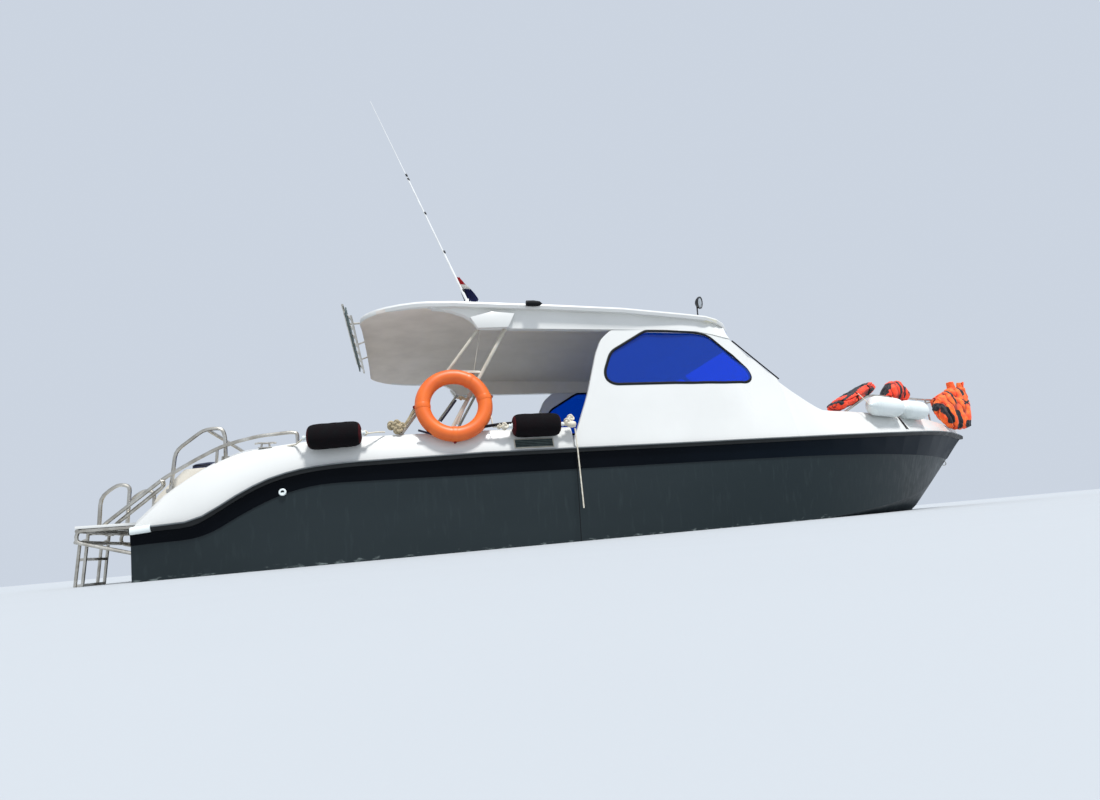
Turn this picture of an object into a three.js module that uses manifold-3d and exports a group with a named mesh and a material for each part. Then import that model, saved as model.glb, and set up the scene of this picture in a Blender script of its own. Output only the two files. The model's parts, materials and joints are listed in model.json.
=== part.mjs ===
// A passenger speedboat, about 10.3 m of hull, drawn in millimetres.
// +X runs to the bow, +Y to port, +Z up. The origin is amidships, on the centreline, at the waterline.
import * as THREE from "three";
import { mergeVertices } from "three/addons/utils/BufferGeometryUtils.js";
import Module from "manifold-3d";

const wasm = await Module();
wasm.setup();

// Driving dimensions
const GAP = 0.3; // between pieces that touch
const HALF_BEAM = 1450; // at the rubbing strake, amidships
const TRANSOM_X = -5080;
const STEM_X = 5096;
const SOLE_Z = 360; // top of the cockpit floor
const WALL = 60; // hull side
const PANEL = 42; // cabin side
const GUNWALE_TOP = 1100;
const CABIN_AFT_X = -1400; // seam between the open cockpit and the cabin side
const DASH_X = 1150; // seam between the cabin side and the foredeck moulding
const EAVE_Z = 2150; // underside of the side beams of the roof
const ROOF_AFT_X = -3400;
const RING_OUTER = 360; // life ring, 720 mm across
const RING_TUBE = 70;
const FENDER_RADIUS = 112;
const WHIP_LENGTH = 2530;
const WHIP_LEAN = 21.8; // degrees aft of upright
const TUBE = 16; // radius of the stainless rails
const SCREW_RADIUS = 190;

const V = (x, y, z) => new THREE.Vector3(x, y, z);
const rad = THREE.MathUtils.degToRad;

// Rows of numbers against a first column, with more rows set between the given ones
// from one place to another, on a smooth curve through them.
function refined(rows, from, to, extra) {
  const slope = (i, column) => {
    const [before, after] = [rows[Math.max(i - 1, 0)], rows[Math.min(i + 1, rows.length - 1)]];
    return (after[column] - before[column]) / (after[0] - before[0]);
  };
  return rows.flatMap((row, i) => {
    const next = rows[i + 1];
    if (!next || row[0] < from || next[0] > to) return [row];
    const span = next[0] - row[0];
    const between = Array.from({ length: extra }, (_, k) => {
      const t = (k + 1) / (extra + 1);
      const rise = t * t * (3 - 2 * t);
      return row.map((value, column) => {
        if (column === 0) return value + t * span;
        const lift = slope(i, column) * t * (1 - t) ** 2 - slope(i + 1, column) * t * t * (1 - t);
        return value + rise * (next[column] - value) + span * lift;
      });
    });
    return [row, ...between];
  });
}

// Rows of lengths along the hull.
// x, keel height, chine half-breadth, chine height, rail height, foot of the dark band, gunwale top
const STATION_ROWS = [
  [-5080, -450, 1240, -110, 402, 278, 470],
  [-4900, -450, 1245, -108, 418, 286, 660],
  [-4650, -450, 1250, -105, 434, 298, 842],
  [-4500, -450, 1255, -102, 505, 345, 918],
  [-4320, -450, 1260, -100, 620, 448, 984],
  [-4120, -450, 1262, -98, 724, 550, 1024],
  [-3920, -450, 1265, -96, 786, 624, 1050],
  [-3700, -450, 1268, -94, 822, 666, 1070],
  [-3400, -450, 1272, -92, 842, 676, 1084],
  [-2300, -450, 1285, -85, 868, 676, 1098],
  [-1400, -450, 1290, -80, 871, 676, 1100],
  [-200, -450, 1285, -70, 871, 676, 1100],
  [600, -448, 1260, -50, 875, 676, 1100],
  [1150, -445, 1215, -28, 878, 676, 1100],
  [1600, -438, 1150, -5, 885, 676, 1100],
  [2050, -420, 1050, 28, 894, 676, 1100],
  [2500, -392, 920, 65, 908, 676, 1100],
  [2900, -345, 775, 108, 924, 676, 1100],
  [3300, -262, 610, 160, 946, 678, 1100],
  [3700, -130, 430, 230, 965, 684, 1100],
  [4020, 60, 290, 325, 978, 698, 1100],
  [4370, 345, 135, 475, 988, 733, 1100],
  [4740, 655, 40, 728, 992, 822, 1100],
  [4980, 862, 12, 872, 995, 912, 1100],
  [5096, 958, 5, 962, 997, 978, 1100],
];
const STATIONS = refined(STATION_ROWS, -4900, -3400, 2).map(
  ([x, keelZ, chineY, chineZ, railZ, bandZ, topZ]) => ({ x, keelZ, chineY, chineZ, railZ, bandZ, topZ }),
);

// A column of a table at any place along the boat, straight between its rows.
function along(table, x, column) {
  const last = table.length - 1;
  if (x <= table[0].x) return table[0][column];
  if (x >= table[last].x) return table[last][column];
  const i = table.findIndex((row) => row.x > x) - 1;
  const share = (x - table[i].x) / (table[i + 1].x - table[i].x);
  return table[i][column] + share * (table[i + 1][column] - table[i][column]);
}

// Half-breadth of the boat at its rail.
function railHalf(x) {
  const aft = Math.max(0, (-2500 - x) / 2580);
  const fore = Math.min(1, Math.max(0, (x - 600) / 4500));
  return (HALF_BEAM - 50 * aft ** 2) * (1 - fore ** 2.2) + 12 * fore;
}

// Half-breadth at the rail, straight between the stations as the hull's own facets are.
const PLAN = STATIONS.map(({ x }) => ({ x, half: railHalf(x) }));
const railY = (x) => along(PLAN, x, "half");
const railZ = (x) => along(STATIONS, x, "railZ");

// How far the cabin side and the cowl lean inwards for each mm of height, by place.
const LEAN = [
  [-1400, 0.107], [-200, 0.107], [600, 0.16], [1150, 0.245], [1500, 0.35], [1745, 0.45], [2300, 0.45],
].map(([x, lean]) => ({ x, lean }));
const sideY = (x, z) => railY(x) - 3 - along(LEAN, x, "lean") * (z - railZ(x));

// Makes a manifold solid of a closed three.js geometry.
function solid(geometry) {
  const bare = geometry.clone();
  for (const name of Object.keys(bare.attributes)) if (name !== "position") bare.deleteAttribute(name);
  const merged = mergeVertices(bare, 1e-3);
  const mesh = new wasm.Mesh({
    numProp: 3,
    vertProperties: merged.attributes.position.array,
    triVerts: new Uint32Array(merged.index.array),
  });
  return new wasm.Manifold(mesh);
}

// Makes a three.js geometry of a manifold solid.
function geometryOf(made) {
  const mesh = made.getMesh();
  const count = mesh.numProp;
  const places = new Float32Array(mesh.numVert * 3);
  for (let i = 0; i < mesh.numVert; i++) {
    places.set(mesh.vertProperties.subarray(i * count, i * count + 3), i * 3);
  }
  const geometry = new THREE.BufferGeometry();
  geometry.setAttribute("position", new THREE.BufferAttribute(places, 3));
  geometry.setIndex(new THREE.BufferAttribute(new Uint32Array(mesh.triVerts), 1));
  geometry.computeVertexNormals();
  return geometry;
}

const join = (...pieces) => pieces.reduce((sum, piece) => sum.add(piece));
const cut = (body, ...tools) => tools.reduce((rest, tool) => rest.subtract(tool), body);

// A closed body through rings of points, each ring a flat loop with the same count of points.
function loft(rings, closed = false) {
  const count = rings[0].length;
  const places = rings.flat().flatMap((p) => [p.x, p.y, p.z]);
  const faces = [];
  const spans = closed ? rings.length : rings.length - 1;
  for (let r = 0; r < spans; r++) {
    const next = (r + 1) % rings.length;
    for (let k = 0; k < count; k++) {
      const a = r * count + k;
      const b = r * count + ((k + 1) % count);
      const c = next * count + ((k + 1) % count);
      const d = next * count + k;
      faces.push(a, b, c, a, c, d);
    }
  }
  if (!closed) {
    for (const [ring, start, flip] of [
      [rings[0], 0, true],
      [rings.at(-1), (rings.length - 1) * count, false],
    ]) {
      const normal = ringNormal(ring);
      const across = V(0, 0, 0).crossVectors(Math.abs(normal.z) > 0.9 ? V(1, 0, 0) : V(0, 0, 1), normal);
      across.normalize();
      const up = V(0, 0, 0).crossVectors(normal, across);
      const flat = ring.map((p) => new THREE.Vector2(p.dot(across), p.dot(up)));
      for (const [a, b, c] of THREE.ShapeUtils.triangulateShape(flat, [])) {
        const face = [start + a, start + b, start + c];
        const turn = facing(ring[a], ring[b], ring[c]).dot(normal) > 0;
        if (turn === flip) face.reverse();
        faces.push(...face);
      }
    }
  }
  const geometry = new THREE.BufferGeometry();
  geometry.setAttribute("position", new THREE.Float32BufferAttribute(places, 3));
  geometry.setIndex(faces);
  const made = solid(geometry);
  if (made.volume() > 0) return made;
  for (let i = 0; i < faces.length; i += 3) [faces[i + 1], faces[i + 2]] = [faces[i + 2], faces[i + 1]];
  geometry.setIndex(faces);
  return solid(geometry);
}

const facing = (a, b, c) => V(0, 0, 0).crossVectors(b.clone().sub(a), c.clone().sub(a));

// The direction that a ring's own loop turns about.
function ringNormal(ring) {
  const sum = V(0, 0, 0);
  ring.forEach((p, i) => sum.add(V(0, 0, 0).crossVectors(p, ring[(i + 1) % ring.length])));
  return sum.normalize();
}

// A box between two corners.
function block(low, high) {
  const [dx, dy, dz] = [0, 1, 2].map((i) => high[i] - low[i]);
  const geometry = new THREE.BoxGeometry(dx, dy, dz);
  geometry.translate(low[0] + dx / 2, low[1] + dy / 2, low[2] + dz / 2);
  return solid(geometry);
}

// A prism of an outline drawn in the XZ plane, between two places across the boat.
function prismAcross(outline, fromY, toY) {
  const shape = new THREE.Shape(outline.map(([x, z]) => new THREE.Vector2(x, z)));
  const geometry = new THREE.ExtrudeGeometry(shape, { depth: toY - fromY, bevelEnabled: false });
  geometry.rotateX(Math.PI / 2);
  geometry.translate(0, toY, 0);
  return solid(geometry);
}

// A prism of an outline drawn in the XY plane, between two heights.
function prismUp(outline, fromZ, toZ) {
  const shape = new THREE.Shape(outline.map(([x, y]) => new THREE.Vector2(x, y)));
  const geometry = new THREE.ExtrudeGeometry(shape, { depth: toZ - fromZ, bevelEnabled: false });
  geometry.translate(0, 0, fromZ);
  return solid(geometry);
}

// An outline with its corners rounded by short chords.
function rounded(outline, radius, chords = 3) {
  const corners = [];
  outline.forEach((corner, i) => {
    const at = new THREE.Vector2(...corner);
    const before = new THREE.Vector2(...outline.at(i - 1)).sub(at);
    const after = new THREE.Vector2(...outline[(i + 1) % outline.length]).sub(at);
    const reach = Math.min(radius, before.length() / 2.1, after.length() / 2.1);
    const from = at.clone().addScaledVector(before.normalize(), reach);
    const to = at.clone().addScaledVector(after.normalize(), reach);
    const bend = new THREE.QuadraticBezierCurve(from, at, to);
    for (const p of bend.getPoints(chords)) corners.push([p.x, p.y]);
  });
  return corners;
}

// A flat pad with upright rounded corners, between two corners.
function pad(low, high, radius = 30) {
  const outline = [[low[0], low[1]], [high[0], low[1]], [high[0], high[1]], [low[0], high[1]]];
  return prismUp(rounded(outline, radius), low[2], high[2]);
}

// A line of straight runs with rounded bends, sampled only at its bends' points.
class BentLine extends THREE.Curve {
  constructor(corners, radius, chords = 3) {
    super();
    const places = corners.map((c) => V(...c));
    this.stops = [places[0]];
    for (let i = 1; i < places.length - 1; i++) {
      const before = places[i - 1].clone().sub(places[i]);
      const after = places[i + 1].clone().sub(places[i]);
      const reach = Math.min(radius, before.length() / 2.2, after.length() / 2.2);
      const from = places[i].clone().addScaledVector(before.normalize(), reach);
      const to = places[i].clone().addScaledVector(after.normalize(), reach);
      this.stops.push(...new THREE.QuadraticBezierCurve3(from, places[i], to).getPoints(chords));
    }
    this.stops.push(places.at(-1));
  }
  get steps() {
    return this.stops.length - 1;
  }
  getPoint(t, target = V(0, 0, 0)) {
    const place = Math.min(t, 1) * this.steps;
    const i = Math.min(Math.floor(place), this.steps - 1);
    return target.lerpVectors(this.stops[i], this.stops[i + 1], place - i);
  }
  getPointAt(u, target) {
    return this.getPoint(u, target);
  }
  getTangentAt(u, target = V(0, 0, 0)) {
    const i = Math.round(u * this.steps);
    const before = this.stops[Math.max(i - 1, 0)];
    const after = this.stops[Math.min(i + 1, this.steps)];
    return target.subVectors(after, before).normalize();
  }
}

// A round tube along a bent line.
function tube(corners, radius = TUBE, bend = 90, sides = 8) {
  const line = new BentLine(corners, bend);
  const section = new THREE.Shape();
  section.absarc(0, 0, radius, 0, 2 * Math.PI);
  const geometry = new THREE.ExtrudeGeometry(section, {
    extrudePath: line,
    steps: line.steps,
    curveSegments: sides / 2,
    bevelEnabled: false,
  });
  return solid(geometry);
}

// A round bar of stepped or shaped profile, turned about its own Z.
// The profile is a list of [radius, height].
function turned(profile, sides = 16) {
  const points = profile.map(([r, z]) => new THREE.Vector2(r, z));
  const geometry = new THREE.LatheGeometry(points, sides);
  geometry.rotateX(Math.PI / 2);
  const made = solid(geometry);
  if (made.volume() > 0) return made;
  const back = new THREE.LatheGeometry(points.reverse(), sides);
  back.rotateX(Math.PI / 2);
  return solid(back);
}

// Turns a solid about its own origin so that its Z lies along a direction, and sets it at a place.
function aim(made, place, direction) {
  const turn = new THREE.Quaternion().setFromUnitVectors(V(0, 0, 1), direction.clone().normalize());
  const matrix = new THREE.Matrix4().compose(place, turn, V(1, 1, 1));
  return solid(geometryOf(made).applyMatrix4(matrix));
}

// A copy of a solid moved a little, so that what it cuts keeps a gap to the solid itself.
function shifted(made, x, y, z) {
  return solid(geometryOf(made).translate(x, y, z));
}
const seatOn = (piece, carrier) => cut(piece, shifted(carrier, 0, 0, GAP + 0.1));

// The largest of the bodies that a cut leaves.
const largest = (made) => made.decompose().reduce((a, b) => (a.volume() > b.volume() ? a : b));

// The same solid on the other side of the boat.
function mirrored(made) {
  const geometry = geometryOf(made);
  geometry.scale(1, -1, 1);
  geometry.index.array.reverse();
  return solid(geometry);
}

const boat = new THREE.Group();
const PAINTS = {
  hull_paint: [0x2b3337, 0.45, 0],
  band_paint: [0x0b0f14, 0.3, 0],
  gelcoat: [0xf2f1ec, 0.25, 0],
  liner: [0xd9d2c4, 0.5, 0],
  rail_rubber: [0x6f7375, 0.7, 0],
  stainless: [0xb9bdc0, 0.25, 1],
  white_tube: [0xe8e8e4, 0.35, 0],
  blue_glass: [0x0a3fa8, 0.08, 0],
  orange_shell: [0xe8692c, 0.5, 0],
  jacket_cloth: [0xf0481c, 0.85, 0],
  fender_cover: [0x17161b, 0.85, 0],
  fender_vinyl: [0xeef0ee, 0.4, 0],
  navy_vinyl: [0x1d2440, 0.55, 0],
  black_plastic: [0x121315, 0.45, 0],
  whip: [0xf4f4f2, 0.35, 0],
  bronze: [0xa77b3c, 0.35, 1],
  engine_paint: [0x6d7276, 0.5, 0.2],
  rope: [0xe9e4d8, 0.9, 0],
  flag_cloth: [0x3a2f78, 0.9, 0],
};

// Adds one named piece to the boat.
function add(name, made, paint) {
  const [color, roughness, metalness] = PAINTS[paint];
  const material = new THREE.MeshStandardMaterial({ color, roughness, metalness });
  const mesh = new THREE.Mesh(geometryOf(made), material);
  mesh.name = name;
  boat.add(mesh);
}

// Hull: the outer form up to the rail, with the cockpit well and the engine bay taken out of it.
function hullRing({ x, keelZ, chineY, chineZ }) {
  const half = [[chineY, chineZ], ...skin(x)];
  return [
    V(x, 0, keelZ),
    ...half.map(([y, z]) => V(x, y, z)),
    ...half.toReversed().map(([y, z]) => V(x, -y, z)),
  ];
}

// The hull's side at one place: above the chine's flat, at the foot of the band and at the rail.
function skin(x) {
  const [chineY, chineZ, bandZ] = ["chineY", "chineZ", "bandZ"].map((column) => along(STATIONS, x, column));
  const flat = Math.min(1, chineY / 300);
  return [[chineY + 26 * flat, chineZ + 16 * flat], [bandHalf(x), bandZ], [railHalf(x), railZ(x)]];
}
const skinY = (x, z) => along(skin(x).map(([y, height]) => ({ x: height, y })), z, "y");

// Half-breadth at the foot of the dark band: on the straight flare aft, hollowed forward.
function bandHalf(x) {
  const columns = ["chineY", "chineZ", "railZ", "bandZ"];
  const [chineY, chineZ, top, foot] = columns.map((column) => along(STATIONS, x, column));
  const share = (foot - chineZ) / (top - chineZ);
  const hollow = 0.1 * Math.min(1, Math.max(0, (x - 1000) / 2500));
  return chineY + (railHalf(x) - chineY) * share * (1 - hollow);
}

const RUDDER = { x: -4790, stock: 20, head: -150, top: -462, foot: -800 };
const WELL_FORE_X = 1080;
const LINER_Z = SOLE_Z - 30; // underside of the floor panel
const ENGINE_BAY = { aft: -2950, fore: -1450, half: 360, floor: -300 };
function hull() {
  const body = loft(STATIONS.map(hullRing));
  const stations = STATIONS.filter(({ x }) => x < WELL_FORE_X);
  const wellRing = (x) => {
    const foot = skinY(x, LINER_Z) - WALL;
    const head = railY(x) - WALL;
    const half = [[foot, LINER_Z], [head, railZ(x)], [head, 1300]];
    return [...half.map(([y, z]) => V(x, y, z)), ...half.toReversed().map(([y, z]) => V(x, -y, z))];
  };
  const well = loft([TRANSOM_X - 50, ...stations.map(({ x }) => x), WELL_FORE_X].map(wellRing));
  const bay = block(
    [ENGINE_BAY.aft, -ENGINE_BAY.half, ENGINE_BAY.floor],
    [ENGINE_BAY.fore, ENGINE_BAY.half, LINER_Z + 100],
  );
  const bore = RUDDER.stock + 1.2;
  const stockHole = turned([[0, -900], [bore, -900], [bore, RUDDER.head], [0, RUDDER.head]], 12);
  return cut(body, well, bay, shaftTunnel(), shifted(stockHole, RUDDER.x, 0, 0));
}

// Propeller shaft: its line, its tube through the bottom, and the bracket ahead of the propeller.
const SHAFT_TOP = V(-2880, 0, -235);
const SHAFT_DROP = rad(14.5);
const SHAFT_LINE = V(-Math.cos(SHAFT_DROP), 0, -Math.sin(SHAFT_DROP));
const SHAFT_RADIUS = 22;
const onShaft = (reach) => SHAFT_TOP.clone().addScaledVector(SHAFT_LINE, reach);
const SCREW_REACH = 1673;
const STRUT_REACH = 1530;
function shaftTunnel() {
  return aim(turned([[0, -60], [30, -60], [30, 1300], [0, 1300]], 12), onShaft(0), SHAFT_LINE);
}

// A strip that runs outside the hull from the transom round the bow and back,
// between two heights given for each place along the boat.
function strip(out, low, high) {
  const xs = [TRANSOM_X, ...STATIONS.slice(1).map(({ x }) => x), STEM_X + 60];
  const layer = loft(
    xs.map((x) => [V(x, -1600, low(x)), V(x, 1600, low(x)), V(x, 1600, high(x)), V(x, -1600, high(x))]),
  );
  const body = loft(STATIONS.map(hullRing));
  const clear = GAP + 0.1;
  const ways = [[0, clear, 0], [0, -clear, 0], [clear, clear, -clear], [clear, -clear, -clear]];
  return largest(cut(grownHull(out), ...ways.map((way) => shifted(body, ...way))).intersect(layer));
}

// The hull's outer form made larger all round by a few millimetres.
function grownHull(by) {
  return loft(
    STATIONS.map((station, i) => {
      const onStem = i === STATIONS.length - 1;
      const forward = THREE.MathUtils.clamp((station.x - 600) / 3000, 0, 1);
      return hullRing(station).map((p) =>
        V(p.x + by * (onStem ? 1.5 : forward), p.y + by * Math.sign(p.y), p.z - (p.y ? 0 : by)));
    }),
  );
}

const RAIL_HIGH = 40;
const rubRail = () => strip(30, (x) => railZ(x) - RAIL_HIGH, (x) => railZ(x) - 0.5);
const bandFoot = (x) => Math.min(along(STATIONS, x, "bandZ"), 680);
const sheerBand = () => strip(7, bandFoot, (x) => railZ(x) - RAIL_HIGH - 1);

// How far the cap stands higher at its inner edge.
const capLift = (x) => 60 * THREE.MathUtils.clamp((-3950 - x) / 400, 0, 1);

// Gunwales: the white side from the rail to the cap, with an inward lip, on each side of the cockpit.
// The cap rises inboard along the stern steps.
function gunwale() {
  const stations = STATIONS.filter(({ x }) => x <= CABIN_AFT_X);
  const rings = stations.map(({ x, railZ: rail, topZ }) => {
    const half = railHalf(x);
    const inner = topZ + capLift(x);
    return [
      V(x, half - 3, rail + GAP),
      V(x, half - 62, topZ - 45),
      V(x, half - 95, topZ),
      V(x, half - 255, inner),
      V(x, half - 255, Math.max(inner - 130, rail + 5)),
      V(x, half - 58, rail + GAP),
    ];
  });
  return loft(rings);
}

// Cabin sides, from the rail to the roof beams, each with its window cut.
const SIDE_OUTLINE = [
  [CABIN_AFT_X + 1, 860], [CABIN_AFT_X + 1, 955], [-1197, 1417], [-1040, 1880], [-960, 2040],
  [-830, EAVE_Z - 0.5], [200, EAVE_Z - 0.5], [396, 2120.5], [600, 2076], [1149, 1594], [1149, 860],
];
const WINDOW_OUTLINE = [
  [-963, 1580], [-968, 1666], [-873, 1882], [-485, 2104], [-430, 2130], [150, 2130], [330, 2098],
  [440, 1994], [767, 1682], [774, 1588], [700, 1545], [-888, 1534],
];
function sideWall(inner, outer) {
  const xs = [CABIN_AFT_X, -200, 200, 600, 900, DASH_X];
  return loft(
    xs.map((x) => {
      const foot = railZ(x) + GAP + 0.2;
      return [
        V(x, sideY(x, foot) - outer, foot),
        V(x, sideY(x, 2200) - outer, 2200),
        V(x, sideY(x, 2200) - inner, 2200),
        V(x, sideY(x, foot) - inner, foot),
      ];
    }),
  );
}
const inset = (outline, by) => {
  const middle = outline.reduce(([a, b], [x, z]) => [a + x / outline.length, b + z / outline.length], [0, 0]);
  return outline.map(([x, z]) => [
    x - by * Math.sign(x - middle[0]),
    z - by * Math.sign(z - middle[1]),
  ]);
};
const WINDOW = rounded(WINDOW_OUTLINE, 70);
const WINDOW_GLASS = rounded(inset(WINDOW_OUTLINE, 0.5), 70);
function cabinSide() {
  const panel = sideWall(PANEL, 0).intersect(prismAcross(rounded(SIDE_OUTLINE, 40, 2), 200, 2000));
  return cut(panel, prismAcross(WINDOW, 200, 2000));
}
// The pane is flat and stands within the wall's thickness.
// Half-breadth of its outer face at x 0 and z 1830, and how that changes along X and Z
const GLASS = { half: 1305.2, alongX: -0.0339, alongZ: -0.1085, thick: 8 };
function sideGlass() {
  const geometry = geometryOf(prismAcross(WINDOW_GLASS, GLASS.half - GLASS.thick, GLASS.half));
  const lean = new THREE.Matrix4().set(
    1, 0, 0, 0,
    GLASS.alongX, 1, GLASS.alongZ, -1830 * GLASS.alongZ,
    0, 0, 1, 0,
    0, 0, 0, 1,
  );
  return solid(geometry.applyMatrix4(lean));
}

// Foredeck moulding: the cowl that falls from the windscreen, and the deck to the bow.
// x, height of its edge, inset of the edge from the rail, crown
const DECK = [
  [1151, 1592, 0, 14],
  [1240, 1524, 0, 22],
  [1343, 1447, 0, 30],
  [1521, 1319, 0, 40],
  [1640, 1245, 0, 44],
  [1719, 1210, 0, 45],
  [1850, 1200, 0, 45],
  [2060, 1197, 0, 45],
  [2500, 1180, 100, 45],
  [2900, 1174, 100, 44],
  [3300, 1174, 96, 42],
  [3700, 1174, 90, 38],
  [4020, 1168, 84, 32],
  [4370, 1156, 74, 24],
  [4740, 1139, 56, 14],
  [4980, 1122, 30, 6],
  [5088, 1114, 6, 2],
].map(([x, edgeZ, insetY, crown]) => ({ x, edgeZ, insetY, crown }));
const deckY = (x) => {
  const lean = sideY(x, along(DECK, x, "edgeZ"));
  return x < 2300 ? lean : railY(x) - 3 - along(DECK, x, "insetY") - (railY(x) < 200 ? 0 : 10);
};
function foredeckRing({ x, edgeZ, crown }) {
  const foot = railZ(x) + GAP + 0.2;
  const half = deckY(x);
  const shoulder = Math.min(40, half * 0.4);
  const side = [
    [railY(x) - 3, foot],
    [half + (railY(x) - 3 - half) * 0.12, edgeZ - 0.12 * (edgeZ - foot)],
    [half - shoulder, edgeZ + crown * 0.25],
    [(half - shoulder) * 0.5, edgeZ + crown * 0.8],
  ];
  return [
    ...side.map(([y, z]) => V(x, y, z)),
    V(x, 0, edgeZ + crown),
    ...side.toReversed().map(([y, z]) => V(x, -y, z)),
  ];
}

// Anchor locker under a lid in the foredeck.
const LOCKER = { aft: 2560, fore: 3060, half: 250, floor: 960, rim: 1238, lid: 26 };
function foredeck() {
  const body = loft(DECK.map(foredeckRing));
  const { aft, fore, half, floor: low, rim: high } = LOCKER;
  const rim = block([aft - 30, -half - 30, 1120], [fore + 30, half + 30, high]);
  const well = block([aft, -half, low], [fore, half, 1400]);
  return cut(join(body, rim), well);
}
function lockerLid() {
  const { aft, fore, half, rim, lid } = LOCKER;
  return pad([aft - 30, -half - 30, rim + 0.5], [fore + 20, half + 30, rim + 0.5 + lid], 40);
}

// Windscreen: a flat frame raked between the cabin sides, with two panes and a middle post.
const SCREEN = { footX: 1176, footZ: 1591, headX: 640, headZ: 2062, half: 1240, thick: 36 };
const SCREEN_RISE = Math.hypot(SCREEN.footX - SCREEN.headX, SCREEN.headZ - SCREEN.footZ);
function onScreen(outline, low, high) {
  const shape = new THREE.Shape(outline.map(([y, up]) => new THREE.Vector2(y, up)));
  const geometry = new THREE.ExtrudeGeometry(shape, { depth: high - low, bevelEnabled: false });
  geometry.translate(0, 0, low);
  const up = V(SCREEN.headX - SCREEN.footX, 0, SCREEN.headZ - SCREEN.footZ).normalize();
  const side = V(0, 1, 0);
  const out = V(0, 0, 0).crossVectors(side, up);
  const matrix = new THREE.Matrix4().makeBasis(side, up, out);
  matrix.setPosition(SCREEN.footX, 0, SCREEN.footZ);
  geometry.applyMatrix4(matrix);
  return solid(geometry);
}
const PANE = [[40, 55], [1100, 55], [1100, SCREEN_RISE - 60], [40, SCREEN_RISE - 60]];
const otherSide = (outline) => outline.map(([y, up]) => [-y, up]).toReversed();
function windscreenFrame() {
  const edge = [
    [-SCREEN.half, 0], [SCREEN.half, 0], [SCREEN.half, SCREEN_RISE], [-SCREEN.half, SCREEN_RISE],
  ];
  const frame = onScreen(edge, -SCREEN.thick, 0);
  const holes = [PANE, otherSide(PANE)].map((o) => onScreen(rounded(o, 60), -SCREEN.thick - 10, 10));
  const sides = sideWall(PANEL + 0.4, -60);
  return cut(frame, ...holes, sides, mirrored(sides), shifted(foredeck(), -0.4, 0, GAP + 0.1));
}
const pane = (outline) => onScreen(rounded(inset(outline, 0.5), 60), -22, -14);

// Hardtop: a crowned shell with corners rounded in plan, and a beam along each side over the cabin.
// x, height of the top edge, rise of the crown
const ROOF = [
  [-3400, 2388, 58],
  [-3300, 2391, 66],
  [-3000, 2398, 84],
  [-2490, 2418, 92],
  [-1400, 2402, 95],
  [-700, 2384, 95],
  [0, 2360, 88],
  [500, 2340, 74],
  [850, 2322, 50],
  [1020, 2308, 30],
].map(([x, edgeZ, rise]) => ({ x, edgeZ, rise }));
const ROOF_PLACES = [
  -3400, -3392, -3375, -3345, -3300, -3230, -3140, -3000, -2850, -2750, -2490, -1400, -700, 0, 150, 330, 500,
  650, 780, 880, 950, 995, 1020,
];
const ROOF_HALF = 1400;
const RIM = 68;
const SHELL = 52; // thickness of the roof away from its rim
// Half-breadth of the roof: its full breadth less the taper forward and the rounding of the corners.
function roofHalf(x) {
  const aft = Math.max(0, (-2750 - x) / 650);
  const fore = Math.max(0, (x - 150) / 880);
  const taper = 70 * THREE.MathUtils.clamp((x + 700) / 850, 0, 1);
  const corner = 450 * (1 - (1 - aft ** 1.7) ** (1 / 1.7));
  return (ROOF_HALF - taper - corner) * (1 - fore ** 2.2) ** (1 / 2.2);
}
// The roof's upper face from the crown out to the edge, as half-breadths and heights over the edge
function roofProfile(x) {
  const half = roofHalf(x);
  const rise = along(ROOF, x, "rise");
  return [[0, rise], [half * 0.35, rise * 0.92], [half * 0.7, rise * 0.6], [half - 60, 8], [half - 8, -18]];
}
function roofRing(x) {
  const half = roofHalf(x);
  const edgeZ = along(ROOF, x, "edgeZ");
  const [crown, quarter, shoulder, ...edge] = roofProfile(x);
  const outer = [[half, -RIM * 0.55], ...edge.toReversed(), shoulder, quarter];
  const under = [
    [half - 12, -RIM], [half - 60, -RIM + 4],
    [shoulder[0], shoulder[1] - SHELL], [quarter[0], quarter[1] - SHELL],
  ];
  const place = ([y, up], side) => V(x, side * y, edgeZ + up);
  return [
    ...outer.map((spot) => place(spot, 1)),
    place(crown, 1),
    ...outer.toReversed().map((spot) => place(spot, -1)),
    ...under.map((spot) => place(spot, -1)),
    place([0, crown[1] - SHELL], 1),
    ...under.toReversed().map((spot) => place(spot, 1)),
  ];
}
const roofTop = (x, y) => {
  const profile = roofProfile(x).map(([reach, up]) => ({ x: reach, up }));
  return along(ROOF, x, "edgeZ") + along(profile, Math.abs(y), "up");
};
// The beams' foot rises in a quarter round to the shell at their aft end, and falls with the cabin
// side at their fore end.
// x, height of the foot
const BEAM = [
  [-2700, 2352], [-2600, 2346], [-2520, 2331], [-2393, 2290], [-2325, 2248], [-2277, 2206], [-2250, 2153],
  [-2080, EAVE_Z], [-700, EAVE_Z], [0, EAVE_Z], [200, EAVE_Z], [396, 2121], [500, 2098.5], [600, 2076.5],
  [620, 2071],
].map(([x, foot]) => ({ x, foot }));
function roofBeam() {
  return loft(
    BEAM.map(({ x, foot }) => {
      const top = along(ROOF, x, "edgeZ") - RIM * 0.6;
      const out = sideY(Math.max(x, CABIN_AFT_X), Math.min(foot, EAVE_Z)) + 6;
      const head = Math.min(out + 14, roofHalf(x) - 62);
      return [V(x, out - 62, foot), V(x, out, foot), V(x, head, top), V(x, head - 62, top)];
    }),
  );
}
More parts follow.
